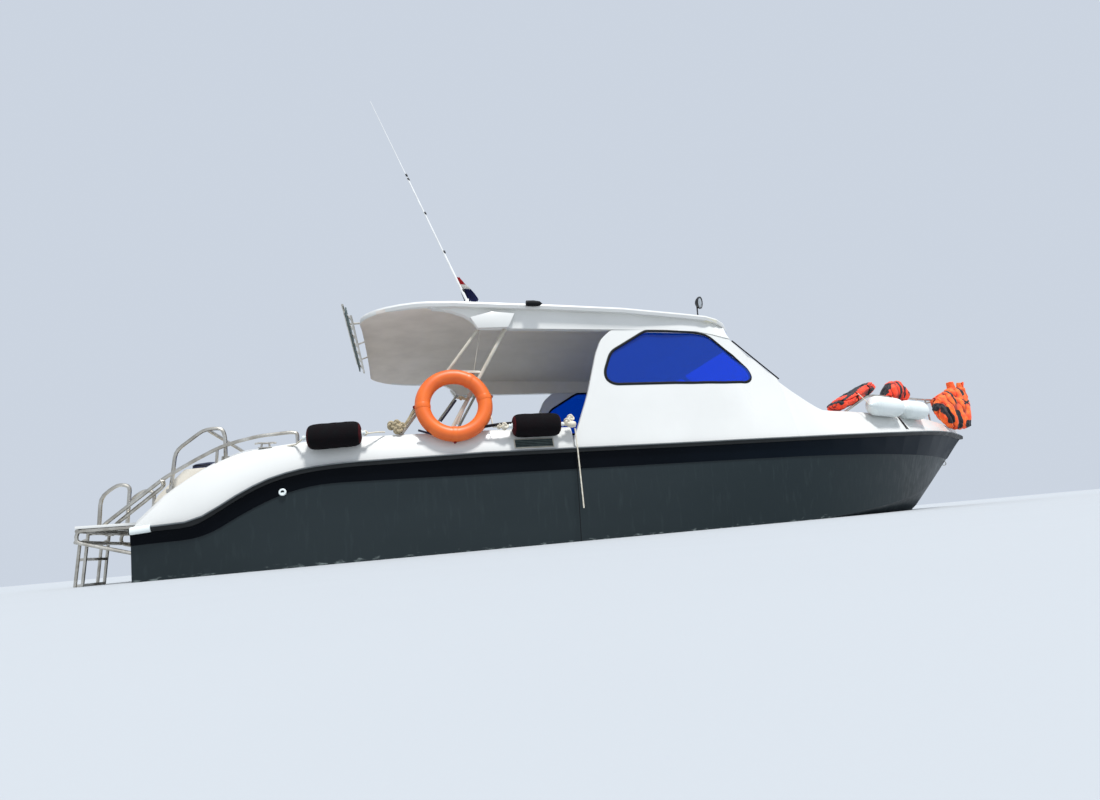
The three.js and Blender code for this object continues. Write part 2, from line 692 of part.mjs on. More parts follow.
// The bar over the windscreen's head, up to the shell.
// y, height of its top, x of its fore face at the foot and at the top
const HEADER = [
  [0, 2370, 690, 690],
  [410, 2364, 690, 690],
  [820, 2344, 690, 690],
  [1040, 2305, 690, 690],
  [1110, 2295, 660, 650],
  [1195, 2150, 648, 630],
];
function roofHeader() {
  const slope = (SCREEN.headZ - SCREEN.footZ) / (SCREEN.footX - SCREEN.headX);
  const under = SCREEN.thick / Math.hypot(1, slope);
  const high = SCREEN.headZ + GAP;
  const seat = [[SCREEN.headX - under * slope, high - under], [SCREEN.headX, high]];
  const ring = ([y, top, foreFoot, foreTop]) => {
    const lip = [foreFoot, high + 0.75 * (foreFoot - SCREEN.headX)];
    return [[576, top], [576, 2060], ...seat, lip, [foreTop, top]].map(([x, z]) => V(x, y, z));
  };
  const port = HEADER.slice(1).map(ring);
  const starboard = port.map((points) => points.map((p) => V(p.x, -p.y, p.z))).toReversed();
  return loft([...starboard, ring(HEADER[0]), ...port]);
}
function hardtop() {
  const shell = loft(ROOF_PLACES.map(roofRing));
  const beam = roofBeam();
  return join(shell, beam, mirrored(beam), roofHeader());
}

// Cockpit floor, with an opening over the engine bay
function sole() {
  const middle = STATIONS.map(({ x }) => x).filter((x) => x > TRANSOM_X && x < WELL_FORE_X);
  const xs = [TRANSOM_X + 1, ...middle, WELL_FORE_X - 1];
  const panel = loft(
    xs.map((x) => {
      const half = skinY(x, LINER_Z) - WALL - GAP;
      const low = LINER_Z + GAP;
      return [V(x, -half, low), V(x, half, low), V(x, half, SOLE_Z), V(x, -half, SOLE_Z)];
    }),
  );
  const { aft, fore, half } = ENGINE_BAY;
  return cut(panel, block([aft, -half, 200], [fore, half, 500]));
}

// The stern moulding: steps up from the platform to starboard, a bench to port.
const STEPS = [
  [-5060, 500], [-4905, 640], [-4750, 780], [-4300, 570], [-4130, SOLE_Z + GAP],
];
const STERN_BENCH = { aft: -4720, fore: -4200, from: -230, to: 1150, seat: 720, back: 905 };
function sternMoulding() {
  const low = SOLE_Z + GAP;
  const outline = [[STEPS[0][0], low]];
  STEPS.slice(0, -1).forEach(([x, z], i) => outline.push([x, z], [STEPS[i + 1][0], z]));
  outline.push([STEPS.at(-1)[0], low]);
  const stairs = prismAcross(outline, -1130, STERN_BENCH.from);
  const { aft, fore, from, to, seat, back } = STERN_BENCH;
  const bench = block([aft, from - 20, low], [fore, to, seat]);
  const backrest = block([aft, from - 20, low], [aft + 90, to, back]);
  return join(stairs, bench, backrest);
}
function sternCushion() {
  const { aft, fore, from, to, seat } = STERN_BENCH;
  return pad([aft + 92, from + 4, seat + 0.5], [fore - 4, to - 4, seat + 80]);
}
const BOLSTER = { aft: -4740, fore: -4490, from: -1125, to: -840, high: 130 };
const bolster = () =>
  pad([BOLSTER.aft, BOLSTER.from, 780.5], [BOLSTER.fore, BOLSTER.to, 780 + BOLSTER.high], 60);

// Swim platform: a welded tube frame on the transom, with two boarding hoops and a slatted deck.
const PLATFORM = { aft: -5570, fore: TRANSOM_X - 1, half: 1105, tubeZ: 440, low: 352, foot: 205, deck: 478 };
const DECK_SLOTS = [-5440, -5370, -5240, -5170];
const HOOPS = [-900, -395];
const HOOP_LINE = [[-5510, 480], [-5522, 735], [-5400, 832], [-5312, 812], [-5305, 480]];
const LADDER = { axisX: -5618, axisZ: 436, near: -830, far: -470, foot: -420, depth: 52, radius: 13 };
const TREADS = [210, 0, -210, -400];
function platformFrame() {
  const { aft, fore, half, tubeZ, low, foot } = PLATFORM;
  const beam = (y) =>
    join(
      tube([[fore, y, tubeZ], [aft, y, tubeZ], [aft, y, low], [fore, y, foot]], TUBE - 1.3, 40),
      aim(turned([[0, 0], [45, 0], [45, 10], [0, 10]], 8), V(fore - 10, y, tubeZ), V(1, 0, 0)),
      aim(turned([[0, 0], [45, 0], [45, 10], [0, 10]], 8), V(fore - 10, y, foot), V(1, 0, 0)),
    );
  const edge = (x, z, radius) => tube([[x, -half - 3, z], [x, half + 3, z]], radius);
  const { axisX, axisZ, near, far } = LADDER;
  const hole = tube([[axisX, near, axisZ], [axisX, far, axisZ]], 12);
  const hinges = [near + 20, far - 34].map((y) =>
    cut(block([axisX - 16, y, axisZ - 18], [aft, y + 14, tubeZ + 14]), hole));
  const posts = HOOPS.map((y) => tube(HOOP_LINE.map(([x, z], i) => [x, y, i % 4 ? z : tubeZ]), TUBE, 70));
  const beams = [-half, -350, 350, half].map(beam);
  const ends = [edge(aft, tubeZ, TUBE), edge(aft, low, TUBE)];
  const edges = [...ends, edge(-5510, tubeZ, 14), edge(-5305, tubeZ, 14)];
  const frame = join(...beams, ...edges, ...hinges, ...posts);
  return cut(frame, shifted(hull(), -0.4, 0, 0));
}
function platformDeck() {
  const { aft, half, tubeZ, deck } = PLATFORM;
  const low = tubeZ + TUBE + GAP;
  const panel = block([aft - 14, -half - 12, low], [TRANSOM_X - 14, half + 12, deck]);
  const reach = half - 60;
  const slots = DECK_SLOTS.map((x) => block([x, -reach, low - 5], [x + 22, reach, deck + 5]));
  const feet = HOOPS.flatMap((y) => [HOOP_LINE[0][0], HOOP_LINE[4][0]].map((x) =>
    aim(turned([[0, -80], [TUBE + 4, -80], [TUBE + 4, 80], [0, 80]], 10), V(x, y, deck), V(0, 0, 1))));
  return cut(panel, ...slots, ...feet);
}
function ladder() {
  const { axisX, axisZ, near, far, foot, depth, radius } = LADDER;
  const outer = axisX - depth;
  const side = [[axisX, axisZ], [axisX, foot], [outer, foot], [outer, axisZ - 72], [axisX, axisZ - 52]];
  const stile = (y) => tube(side.map(([x, z]) => [x, y, z]), radius, 26, 8);
  const treads = TREADS.map((z) => block([outer - 6, near, z], [axisX + 10, far, z + 22]));
  const pin = tube([[axisX, near, axisZ], [axisX, far, axisZ]], 11, 20, 8);
  return join(stile(near), stile(far), pin, ...treads);
}

// Handrails up the stern steps and along the gunwale
const gunwaleCap = (x, y) => {
  const half = railY(x);
  const share = THREE.MathUtils.clamp((half - 95 - Math.abs(y)) / 160, 0, 1);
  return along(STATIONS, x, "topZ") + share * capLift(x);
};
function stairRail() {
  const y = -1300;
  const deck = PLATFORM.deck - 3;
  const main = [
    [-5400, -1080, deck], [-5370, -1090, 500], [-4905, y, 812], [-4693, y, 946], [-4532, y, 1038],
    [-4396, y, 1088], [-4202, y, 1134], [-3960, y, 1156], [-3905, y, 1150],
    [-3898, y, gunwaleCap(-3898, y) - 5],
  ];
  const foot = [-4530, y, gunwaleCap(-4530, y) - 5];
  const lower = [[-5320, -1062, deck], [-5300, -1068, 495], [-4930, -1236, 752], [-4920, -1300, 796]];
  const rails = join(tube(main, TUBE, 60), tube([foot, [-4530, y, 1040]], 12), tube(lower, TUBE, 30));
  return seatOn(seatOn(rails, mirrored(gunwale())), platformDeck());
}

// Stern arch: a hoop on each gunwale, joined by a bar across the boat
const ARCH_Y = 1240;
function sternArch() {
  const foot = (x) => gunwaleCap(x, ARCH_Y) - 8;
  const line = [
    [-4877, foot(-4877)], [-4862, 1042], [-4655, 1222], [-4520, 1226], [-4492, 1150], [-4478, foot(-4478)],
  ];
  const hoop = (y) => tube(line.map(([x, z]) => [x, y, z]), TUBE, 60);
  const bar = tube([[-4630, -ARCH_Y, 1215], [-4630, ARCH_Y, 1215]], TUBE);
  const flange = turned([[0, -10], [34, -10], [34, 18], [0, 18]], 8);
  const plate = (y, x) => shifted(flange, x, y, foot(x) + 4);
  const plates = [-ARCH_Y, ARCH_Y].flatMap((y) => [plate(y, -4877), plate(y, -4478)]);
  const arch = join(hoop(-ARCH_Y), hoop(ARCH_Y), bar, ...plates);
  return seatOn(seatOn(arch, gunwale()), mirrored(gunwale()));
}

// Strut frames between the gunwale and the roof beams
const STRUTS = { y: 1300, topY: 1287, aftFoot: -3031, aftHead: -2236, foreFoot: -2580, foreHead: -1968 };
function strutFrame() {
  const { y, topY, aftFoot, aftHead, foreFoot, foreHead } = STRUTS;
  const head = (x) => along(BEAM, x, "foot") + 8;
  const aft = tube([[aftFoot, -y, gunwaleCap(aftFoot, y) - 8], [aftHead, -topY, head(aftHead)]], TUBE);
  const foreLine = [[foreFoot, -y, gunwaleCap(foreFoot, y) - 8], [foreHead, -topY, head(foreHead)]];
  const fore = tube(foreLine, TUBE + 3);
  const share = (1690 - GUNWALE_TOP) / (EAVE_Z - GUNWALE_TOP);
  const cross = [aftFoot + share * (aftHead - aftFoot), foreFoot + share * (foreHead - foreFoot)];
  const frame = join(aft, fore, tube([[cross[0], -1293, 1690], [cross[1], -1293, 1690]], 12));
  return cut(seatOn(frame, mirrored(gunwale())), shifted(hardtop(), 0, 0, -0.4));
}

// Life ring, leaning on the starboard struts with its foot on the gunwale's side
const RING = { x: -2531, y: -1418.5, z: 1337, tilt: 8.1 };
function lifeRing() {
  const geometry = new THREE.TorusGeometry(RING_OUTER - RING_TUBE, RING_TUBE, 10, 32);
  geometry.rotateX(Math.PI / 2);
  geometry.rotateX(rad(-RING.tilt));
  geometry.translate(RING.x, RING.y, RING.z);
  return solid(geometry);
}

// A fender: a rounded cylinder with an eye at each end, lying along a line
function fender(from, to, radius) {
  const axis = to.clone().sub(from);
  const long = axis.length();
  const profile = [
    [0, 0], [18, 0], [22, 34], [radius * 0.72, 44], [radius, 90], [radius, long - 90],
    [radius * 0.72, long - 44], [22, long - 34], [18, long], [0, long],
  ];
  return aim(turned(profile, 16), from, axis);
}
function gunwaleFender(aft, fore) {
  const out = FENDER_RADIUS - 3;
  const seat = (x) => {
    const edge = railY(x) - 62;
    return V(x, -(edge + 0.89 * out), along(STATIONS, x, "topZ") - 45 + 0.455 * out);
  };
  return cut(fender(seat(aft), seat(fore), FENDER_RADIUS), shifted(mirrored(gunwale()), 0, -0.4, 0.3));
}
const BOW_FENDER_RADIUS = 118;
function bowFender(aft, fore) {
  const out = BOW_FENDER_RADIUS - 16;
  const seat = (x) => V(x, -(deckY(x) + 0.8 * out), along(DECK, x, "edgeZ") + 0.6 * out);
  return cut(fender(seat(aft), seat(fore), BOW_FENDER_RADIUS), shifted(foredeck(), 0, -0.4, 0.3));
}

// Bow rail
const railing = (x) => Math.max(deckY(x) - 55, 60);
const deckTop = (x, y) => {
  const half = deckY(x);
  const shoulder = Math.min(40, half * 0.4);
  const [edge, crown] = [along(DECK, x, "edgeZ"), along(DECK, x, "crown")];
  const share = y / (half - shoulder);
  return share > 0.5 ? edge + crown * (1.35 - 1.1 * share) : edge + crown * (1 - 0.4 * share);
};
const BOW_RAIL = [
  [2560, 1422], [3210, 1434], [3915, 1464], [4500, 1520], [4820, 1568],
].map(([x, z]) => ({ x, z }));
const STANCHIONS = [2985, 4100];
function bowRail(grow = 0) {
  const side = (sign) => [
    [2060, sign * railing(2060), deckTop(2060, railing(2060)) - 20],
    ...BOW_RAIL.map(({ x, z }) => [x, sign * railing(x), z]),
  ];
  const line = [...side(-1), [4925, -40, 1580], [4925, 40, 1580], ...side(1).toReversed()];
  const posts = STANCHIONS.flatMap((x) => [-1, 1].map((sign) => {
    const y = railing(x) - 4;
    const foot = [x, sign * y, deckTop(x, y) - 20];
    return tube([foot, [x, sign * railing(x), along(BOW_RAIL, x, "z")]], 12 + grow, 20, 6);
  }));
  return seatOn(join(tube(line, 14 + grow, 120), ...posts), foredeck());
}

// Life jackets hung on the bow rail to dry: plain folded forms through rings of eight points.
// x, y and height of each ring's middle, its half length along X and half breadth along Y
function folded(rows) {
  const ring = [[1, 0.55], [0.6, 1], [-0.6, 1], [-1, 0.55], [-1, -0.55], [-0.6, -1], [0.6, -1], [1, -0.55]];
  return loft(
    rows.map(([x, y, z, halfX, halfY]) => ring.map(([a, b]) => V(x + a * halfX, y + b * halfY, z))),
  );
}
// Leaning on the rail's after leg; its rings run up along the leg
const JACKET_AFT = [
  [0, 0, 0, 45, 110], [0, 0, 60, 66, 138], [0, 0, 350, 72, 144],
  [0, 0, 640, 70, 138], [0, 0, 735, 60, 118], [0, 0, 770, 30, 80],
];
const JACKET_MIDDLE = [
  [3160, -795, 1262, 150, 45], [3172, -800, 1352, 190, 70], [3183, -845, 1442, 210, 108],
  [3188, -855, 1542, 160, 98], [3203, -850, 1622, 105, 74], [3203, -850, 1652, 60, 44],
];
const JACKET_BOW = [
  [4700, -368, 1050, 90, 36], [4712, -362, 1090, 200, 70], [4706, -345, 1218, 250, 104],
  [4738, -302, 1378, 290, 130], [4820, -242, 1528, 300, 134],
  [4902, -236, 1628, 230, 114], [4994, -240, 1688, 165, 88],
];
const JACKET_COLLAR = [
  [[4918, -245, 1638, 52, 55], [4908, -245, 1785, 38, 42]],
  [[5086, -240, 1638, 52, 55], [5112, -240, 1785, 38, 42]],
];
const clearOfRail = (jacket) => cut(jacket, bowRail(0.5));
function jacketAft() {
  const vest = aim(folded(JACKET_AFT), V(2014, -1050, 1274), V(0.918, 0.16, 0.363));
  return seatOn(clearOfRail(vest), foredeck());
}
const jacketMiddle = () => clearOfRail(folded(JACKET_MIDDLE));
function jacketBow() {
  const vest = join(folded(JACKET_BOW), ...JACKET_COLLAR.map(folded));
  return largest(cut(clearOfRail(vest), shifted(foredeck(), 0, -0.4, 0.4)));
}

// Antenna: a ratchet foot on the roof and a whip that leans aft
const WHIP = { x: -2324, y: -1150 };
const whipFootZ = roofTop(WHIP.x, WHIP.y) + 64;
function antennaBase() {
  const floor = roofTop(WHIP.x, WHIP.y);
  const plate = block([WHIP.x - 45, WHIP.y - 36, floor - 20], [WHIP.x + 45, WHIP.y + 36, floor + 16]);
  const cheeks = [-1, 1].map((side) => {
    const y = WHIP.y + side * 20;
    return block([WHIP.x - 16, y - 4.3, floor + 10], [WHIP.x + 16, y + 4.3, floor + 84]);
  });
  return seatOn(join(plate, ...cheeks), hardtop());
}
function whip() {
  const lean = V(-Math.sin(rad(WHIP_LEAN)), 0, Math.cos(rad(WHIP_LEAN)));
  const profile = [
    [0, -16], [15, -16], [15, 150], [12, 170], [11, 600], [9, 620], [8, 1500], [5, 1520],
    [3.2, WHIP_LENGTH], [0, WHIP_LENGTH],
  ];
  return aim(turned(profile, 8), V(WHIP.x, WHIP.y, whipFootZ), lean);
}
function flag() {
  const at = V(WHIP.x - 20, WHIP.y + 15.4, whipFootZ + 40);
  const outline = [[0, 0], [70, -20], [115, 60], [70, 150], [45, 250], [10, 250]];
  return prismAcross(outline.map(([x, z]) => [at.x + x, at.z + z]), at.y, at.y + 34);
}

// Roof fittings
function navLight(side) {
  const half = roofHalf(-1689);
  const profile = [[0, -34], [30, -34], [34, 0], [26, 30], [0, 44]];
  const body = turned(profile, 12);
  const geometry = geometryOf(body);
  geometry.rotateY(Math.PI / 2);
  geometry.scale(2.2, 0.9, 0.95);
  geometry.translate(-1689, side * (half + 27), 2379);
  return cut(solid(geometry), shifted(hardtop(), 0, side * 0.4, 0));
}
function spotlight() {
  const [x, y] = [300, -1200];
  const foot = roofTop(x, y);
  const stem = tube([[x, y, foot], [x, y, foot + 125]], 9, 10, 6);
  const plate = block([x - 30, y - 30, foot - 20], [x + 30, y + 30, foot + 10]);
  const head = block([-34, -62, 0], [34, 62, 122]);
  const tilted = aim(head, V(x + 6, y, foot + 112), V(0.32, 0, 0.95));
  return seatOn(join(stem, plate, tilted), hardtop());
}
const RACK = { x: -3490, z: 2304, from: -1340, to: 450, slots: 7 };
function rodRack() {
  const { x, z, from, to, slots } = RACK;
  const rail = (dx, dz) => tube([[x + dx, from, z + dz], [x + dx, to, z + dz]], 12, 20, 6);
  const step = (to - from - 260) / (slots - 1);
  const rungs = Array.from({ length: slots }, (_, i) => {
    const y = from + 130 + i * step;
    return tube([[x - 38, y, z + 56], [x + 38, y, z - 56]], 8, 20, 6);
  });
  const bracket = (y) => {
    const seat = roofTop(ROOF_AFT_X, y) - 26;
    return tube([[x - 38, y, z + 56], [ROOF_AFT_X + 4, y, seat]], 10, 12, 6);
  };
  const rack = join(rail(-38, 56), rail(38, -56), ...rungs, bracket(-860), bracket(-200), bracket(330));
  return cut(rack, shifted(hardtop(), -0.4, 0, 0));
}

// Helm
const CONSOLE = { aft: 480, fore: 1070, from: -1120, to: -380, high: 1080 };
function helmConsole() {
  const { aft, fore, from, to, high } = CONSOLE;
  const low = SOLE_Z + GAP;
  const outline = [[aft + 60, low], [aft, high - 220], [aft + 130, high], [fore, high + 40], [fore, low]];
  return prismAcross(outline, from, to);
}
const WHEEL = { x: 455, y: -750, z: 985, radius: 180 };
const WHEEL_AXIS = V(-220, 0, 130).normalize();
const COLUMN = V(WHEEL.x - CONSOLE.aft, 0, WHEEL.z - CONSOLE.high + 220).dot(WHEEL_AXIS) - GAP - 0.1;
function steeringWheel() {
  const rim = solid(new THREE.TorusGeometry(WHEEL.radius, 13, 8, 24));
  const spokes = [90, 210, 330].map((a) => {
    const bar = new THREE.BoxGeometry(WHEEL.radius - 4, 26, 8);
    bar.translate((WHEEL.radius - 4) / 2, 0, -4);
    bar.rotateZ(rad(a));
    return solid(bar);
  });
  const hub = turned([[0, -COLUMN], [22, -COLUMN], [22, -20], [38, -14], [38, 8], [0, 14]], 12);
  return aim(join(rim, hub, ...spokes), V(WHEEL.x, WHEEL.y, WHEEL.z), WHEEL_AXIS);
}
const HELM_SEAT = { aft: -420, fore: 30, from: -1010, to: -490, seat: 800 };
function helmSeat() {
  const { aft, fore, from, to, seat } = HELM_SEAT;
  const box = block([aft, from, SOLE_Z + GAP], [fore, to, seat]);
  const back = block([aft - 46, from, SOLE_Z + GAP], [aft, to, seat + 420]);
  return join(box, back);
}
function helmCushion() {
  const { aft, fore, from, to, seat } = HELM_SEAT;
  return pad([aft + 4, from + 4, seat + 0.5], [fore - 4, to - 4, seat + 85]);
}

// Side benches with their long cushions
const BENCH = { aft: -3700, fore: -560, inner: 780, outer: 1180, seat: 740 };
function bench() {
  const { aft, fore, inner, outer, seat } = BENCH;
  return block([aft, -outer, SOLE_Z + GAP], [fore, -inner, seat]);
}
function benchCushion() {
  const { aft, fore, inner, outer, seat } = BENCH;
  return pad([aft + 5, -outer + 5, seat + 0.5], [fore - 5, -inner - 5, seat + 85]);
}

// Engine under its box
const BOX = { aft: -3000, fore: -1400, half: 470, top: 745, wall: 24 };
function engineBox() {
  const { aft, fore, half, top, wall } = BOX;
  const low = SOLE_Z + 0.5;
  const shell = block([aft, -half, low], [fore, half, top]);
  return cut(shell, block([aft + wall, -half + wall, low - 10], [fore - wall, half - wall, top - wall]));
}
function engineBlock() {
  const engine = block([-2820, -300, ENGINE_BAY.floor + GAP], [-1640, 300, 560]);
  const flange = turned([[0, 0], [70, 0], [70, 120], [0, 120]], 12);
  return join(engine, aim(flange, onShaft(-22), SHAFT_LINE.clone().negate()));
}

// Propeller with its shaft, the bracket that carries it, and the rudder
function blade(turn) {
  const sections = [[34, 62, 52, 12], [90, 96, 38, 10], [150, 104, 27, 7], [SCREW_RADIUS, 46, 22, 4]];
  const rings = sections.map(([r, chord, pitch, thick]) => {
    const chordLine = V(0, Math.cos(rad(pitch)), Math.sin(rad(pitch)));
    const out = V(0, -Math.sin(rad(pitch)), Math.cos(rad(pitch)));
    const place = (a, b) => V(r, 0, 0).addScaledVector(chordLine, a).addScaledVector(out, b);
    return [place(-chord, 0), place(0, -thick), place(chord, 0), place(0, thick)];
  });
  const geometry = geometryOf(loft(rings));
  geometry.rotateZ(rad(turn));
  return solid(geometry);
}
function propeller() {
  const end = SCREW_REACH - 20;
  const shaft = turned([[0, 20], [SHAFT_RADIUS, 20], [SHAFT_RADIUS, end], [0, end]], 12);
  const hub = turned([[0, -70], [40, -70], [44, 40], [26, 90], [0, 110]], 12);
  const wheel = join(hub, blade(0), blade(90), blade(180), blade(270));
  return join(aim(shaft, onShaft(0), SHAFT_LINE), aim(wheel, onShaft(SCREW_REACH), SHAFT_LINE));
}
function shaftBracket() {
  const centre = onShaft(STRUT_REACH);
  const boss = aim(turned([[0, -60], [44, -60], [44, 60], [0, 60]]), centre, SHAFT_LINE);
  const { x, z } = centre;
  const head = -450.5;
  const leg = prismAcross([[x - 60, z + 30], [x + 60, z + 10], [x + 110, head], [x - 10, head]], -9, 9);
  const bore = SHAFT_RADIUS + 0.8;
  const hole = turned([[0, -90], [bore, -90], [bore, 90], [0, 90]]);
  return cut(join(boss, leg), aim(hole, centre, SHAFT_LINE));
}
function rudder() {
  const { x, stock, head, top, foot } = RUDDER;
  const outline = [
    [x + 70, top], [x + 62, foot + 30], [x + 30, foot], [x - 130, foot], [x - 165, foot + 40], [x - 150, top],
  ];
  const [low, high] = [foot + 60, head - 0.5];
  const post = turned([[0, low], [stock, low], [stock, high], [0, high]], 12);
  return join(prismAcross(outline, -15, 15), shifted(post, x, 0, 0));
}

// Bow cleat
function bowCleat() {
  const x = 4300;
  const floor = deckTop(x, 0) - 10;
  const bar = tube([[x - 110, 0, floor + 72], [x + 110, 0, floor + 72]], 13, 20, 8);
  const foot = block([x - 60, -22, floor - 10], [x + 60, 22, floor + 62]);
  return seatOn(join(bar, foot), foredeck());
}

// The rope that hangs free from the forward fender's tie, down the boat's side
const ROPE_RADIUS = 7;
const ROPE_ROUTE = [
  [-1398, -1485, 1062], [-1396, -1487, 1040], [-1394, -1488, 960], [-1392, -1487.4, 880],
  [-1391, -1487.4, 850], [-1390, -1487.4, 760], [-1389, -1487.4, 660], [-1388, -1487, 560],
  [-1387, -1486, 460], [-1386, -1485, 380],
  [-1386, -1485, 300],
];
// The knot between the fender's eye and the rope
function ropeKnot() {
  const eye = V(-1538.8, -(railY(-1540) - 62 + 0.89 * (FENDER_RADIUS - 3)), 1104.6);
  const profile = [[0, 0], [14, 0], [16, 60], [30, 84], [34, 120], [26, 150], [0, 160]];
  return aim(turned(profile, 10), eye, V(-1380, -1484, 1098).sub(eye));
}
function hangingRope() {
  return tube(ROPE_ROUTE, ROPE_RADIUS, 30, 8);
}

add("hull", hull(), "hull_paint");
add("sheer_band", sheerBand(), "band_paint");
add("rub_rail", rubRail(), "rail_rubber");
add("sole", sole(), "liner");
add("gunwale_port", gunwale(), "gelcoat");
add("gunwale_starboard", mirrored(gunwale()), "gelcoat");
add("cabin_side_port", cabinSide(), "gelcoat");
add("cabin_side_starboard", mirrored(cabinSide()), "gelcoat");
add("side_window_port", sideGlass(), "blue_glass");
add("side_window_starboard", mirrored(sideGlass()), "blue_glass");
add("foredeck", foredeck(), "gelcoat");
add("locker_lid", lockerLid(), "gelcoat");
add("windscreen_frame", windscreenFrame(), "gelcoat");
add("windscreen_pane_port", pane(PANE), "blue_glass");
add("windscreen_pane_starboard", pane(otherSide(PANE)), "blue_glass");
add("hardtop", hardtop(), "gelcoat");
add("stern_moulding", sternMoulding(), "liner");
add("stern_cushion", sternCushion(), "navy_vinyl");
add("bolster", bolster(), "navy_vinyl");
add("platform_frame", platformFrame(), "stainless");
add("platform_deck", platformDeck(), "gelcoat");
add("boarding_ladder", ladder(), "stainless");
add("stair_rail_starboard", stairRail(), "stainless");
add("stair_rail_port", mirrored(stairRail()), "stainless");
add("stern_arch", sternArch(), "stainless");
add("strut_frame_starboard", strutFrame(), "white_tube");
add("strut_frame_port", mirrored(strutFrame()), "white_tube");
add("life_ring", lifeRing(), "orange_shell");
add("fender_dark_aft", gunwaleFender(-3800, -3350), "fender_cover");
add("fender_dark_forward", gunwaleFender(-2010, -1540), "fender_cover");
add("fender_white_aft", bowFender(2330, 2960), "fender_vinyl");
add("fender_white_forward", bowFender(3010, 3580), "fender_vinyl");
add("bow_rail", bowRail(), "stainless");
add("life_jacket_aft", jacketAft(), "jacket_cloth");
add("life_jacket_middle", jacketMiddle(), "jacket_cloth");
add("life_jacket_bow", jacketBow(), "jacket_cloth");
add("bow_cleat", bowCleat(), "stainless");
add("antenna_base", antennaBase(), "white_tube");
add("antenna_whip", whip(), "whip");
add("flag", flag(), "flag_cloth");
add("nav_light_starboard", navLight(-1), "black_plastic");
add("nav_light_port", navLight(1), "black_plastic");
add("spotlight", spotlight(), "black_plastic");
add("rod_rack", rodRack(), "stainless");
add("helm_console", helmConsole(), "liner");
add("steering_wheel", steeringWheel(), "black_plastic");
add("helm_seat", helmSeat(), "liner");
add("helm_cushion", helmCushion(), "navy_vinyl");
add("bench_starboard", bench(), "liner");
add("bench_port", mirrored(bench()), "liner");
add("bench_cushion_starboard", benchCushion(), "navy_vinyl");
add("bench_cushion_port", mirrored(benchCushion()), "navy_vinyl");
add("engine_box", engineBox(), "gelcoat");
add("engine_block", engineBlock(), "engine_paint");
add("propeller", propeller(), "bronze");
add("shaft_bracket", shaftBracket(), "bronze");
add("rudder", rudder(), "bronze");
add("rope_knot", ropeKnot(), "rope");
add("hanging_rope", hangingRope(), "rope");

export default boat;
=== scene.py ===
"""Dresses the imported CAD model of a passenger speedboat, afloat with its waterline at Z = 0."""

from __future__ import annotations

import json
import logging
import math
from dataclasses import dataclass
from enum import Enum
from typing import Sequence

import bmesh
import bpy
from mathutils import Matrix, Vector, noise
from mathutils.bvhtree import BVHTree


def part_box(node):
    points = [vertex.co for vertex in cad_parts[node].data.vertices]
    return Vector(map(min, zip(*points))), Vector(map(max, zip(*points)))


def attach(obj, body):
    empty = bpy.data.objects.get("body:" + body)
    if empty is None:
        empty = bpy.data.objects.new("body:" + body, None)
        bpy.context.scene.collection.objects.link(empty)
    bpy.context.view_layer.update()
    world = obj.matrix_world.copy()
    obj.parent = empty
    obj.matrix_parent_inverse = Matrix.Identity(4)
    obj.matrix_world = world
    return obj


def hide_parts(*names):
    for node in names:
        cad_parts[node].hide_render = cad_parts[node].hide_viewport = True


LOG = logging.getLogger("speedboat")
MM = 0.001
WELD_MM = 0.02
SPUN_WELD_MM = 0.05
BOAT = "boat"

Point = Sequence[float]
Pair = tuple[float, float]
Place = tuple[float, float, float]
Shape = bmesh.types.BMesh
Piece = bpy.types.Object
Tree = bpy.types.NodeTree
Node = bpy.types.Node
Socket = bpy.types.NodeSocket


class Side(Enum):
    """The two sides of the boat, as the sign of Y."""

    STARBOARD = -1
    PORT = 1


# Colour and node helpers


def linear(code: int, alpha: float = 1.0) -> tuple[float, float, float, float]:
    """Turns an sRGB colour into the linear values that a shader takes.

    Args:
        code: The colour as 0xRRGGBB.
        alpha: The fourth value.

    Returns:
        Linear red, green, blue and alpha.
    """
    channels = []
    for shift in (16, 8, 0):
        value = ((code >> shift) & 255) / 255
        channels.append(value / 12.92 if value <= 0.04045 else ((value + 0.055) / 1.055) ** 2.4)
    return (*channels, alpha)


def per_metre(size_mm: float) -> float:
    """A texture scale for a feature of the given size, on coordinates in metres."""
    return 1000 / size_mm


def put(tree: Tree, kind: str, inputs: dict | None = None, **settings) -> Node:
    """Adds one node with its settings, values and links.

    Args:
        tree: The node tree.
        kind: The node's type name.
        inputs: Socket name or index to a value or to an output socket.
        settings: The node's own properties.

    Returns:
        The new node.
    """
    node = tree.nodes.new(kind)
    for key, value in settings.items():
        setattr(node, key, value)
    for key, value in (inputs or {}).items():
        if isinstance(value, Socket):
            tree.links.new(value, node.inputs[key])
        else:
            node.inputs[key].default_value = value
    return node


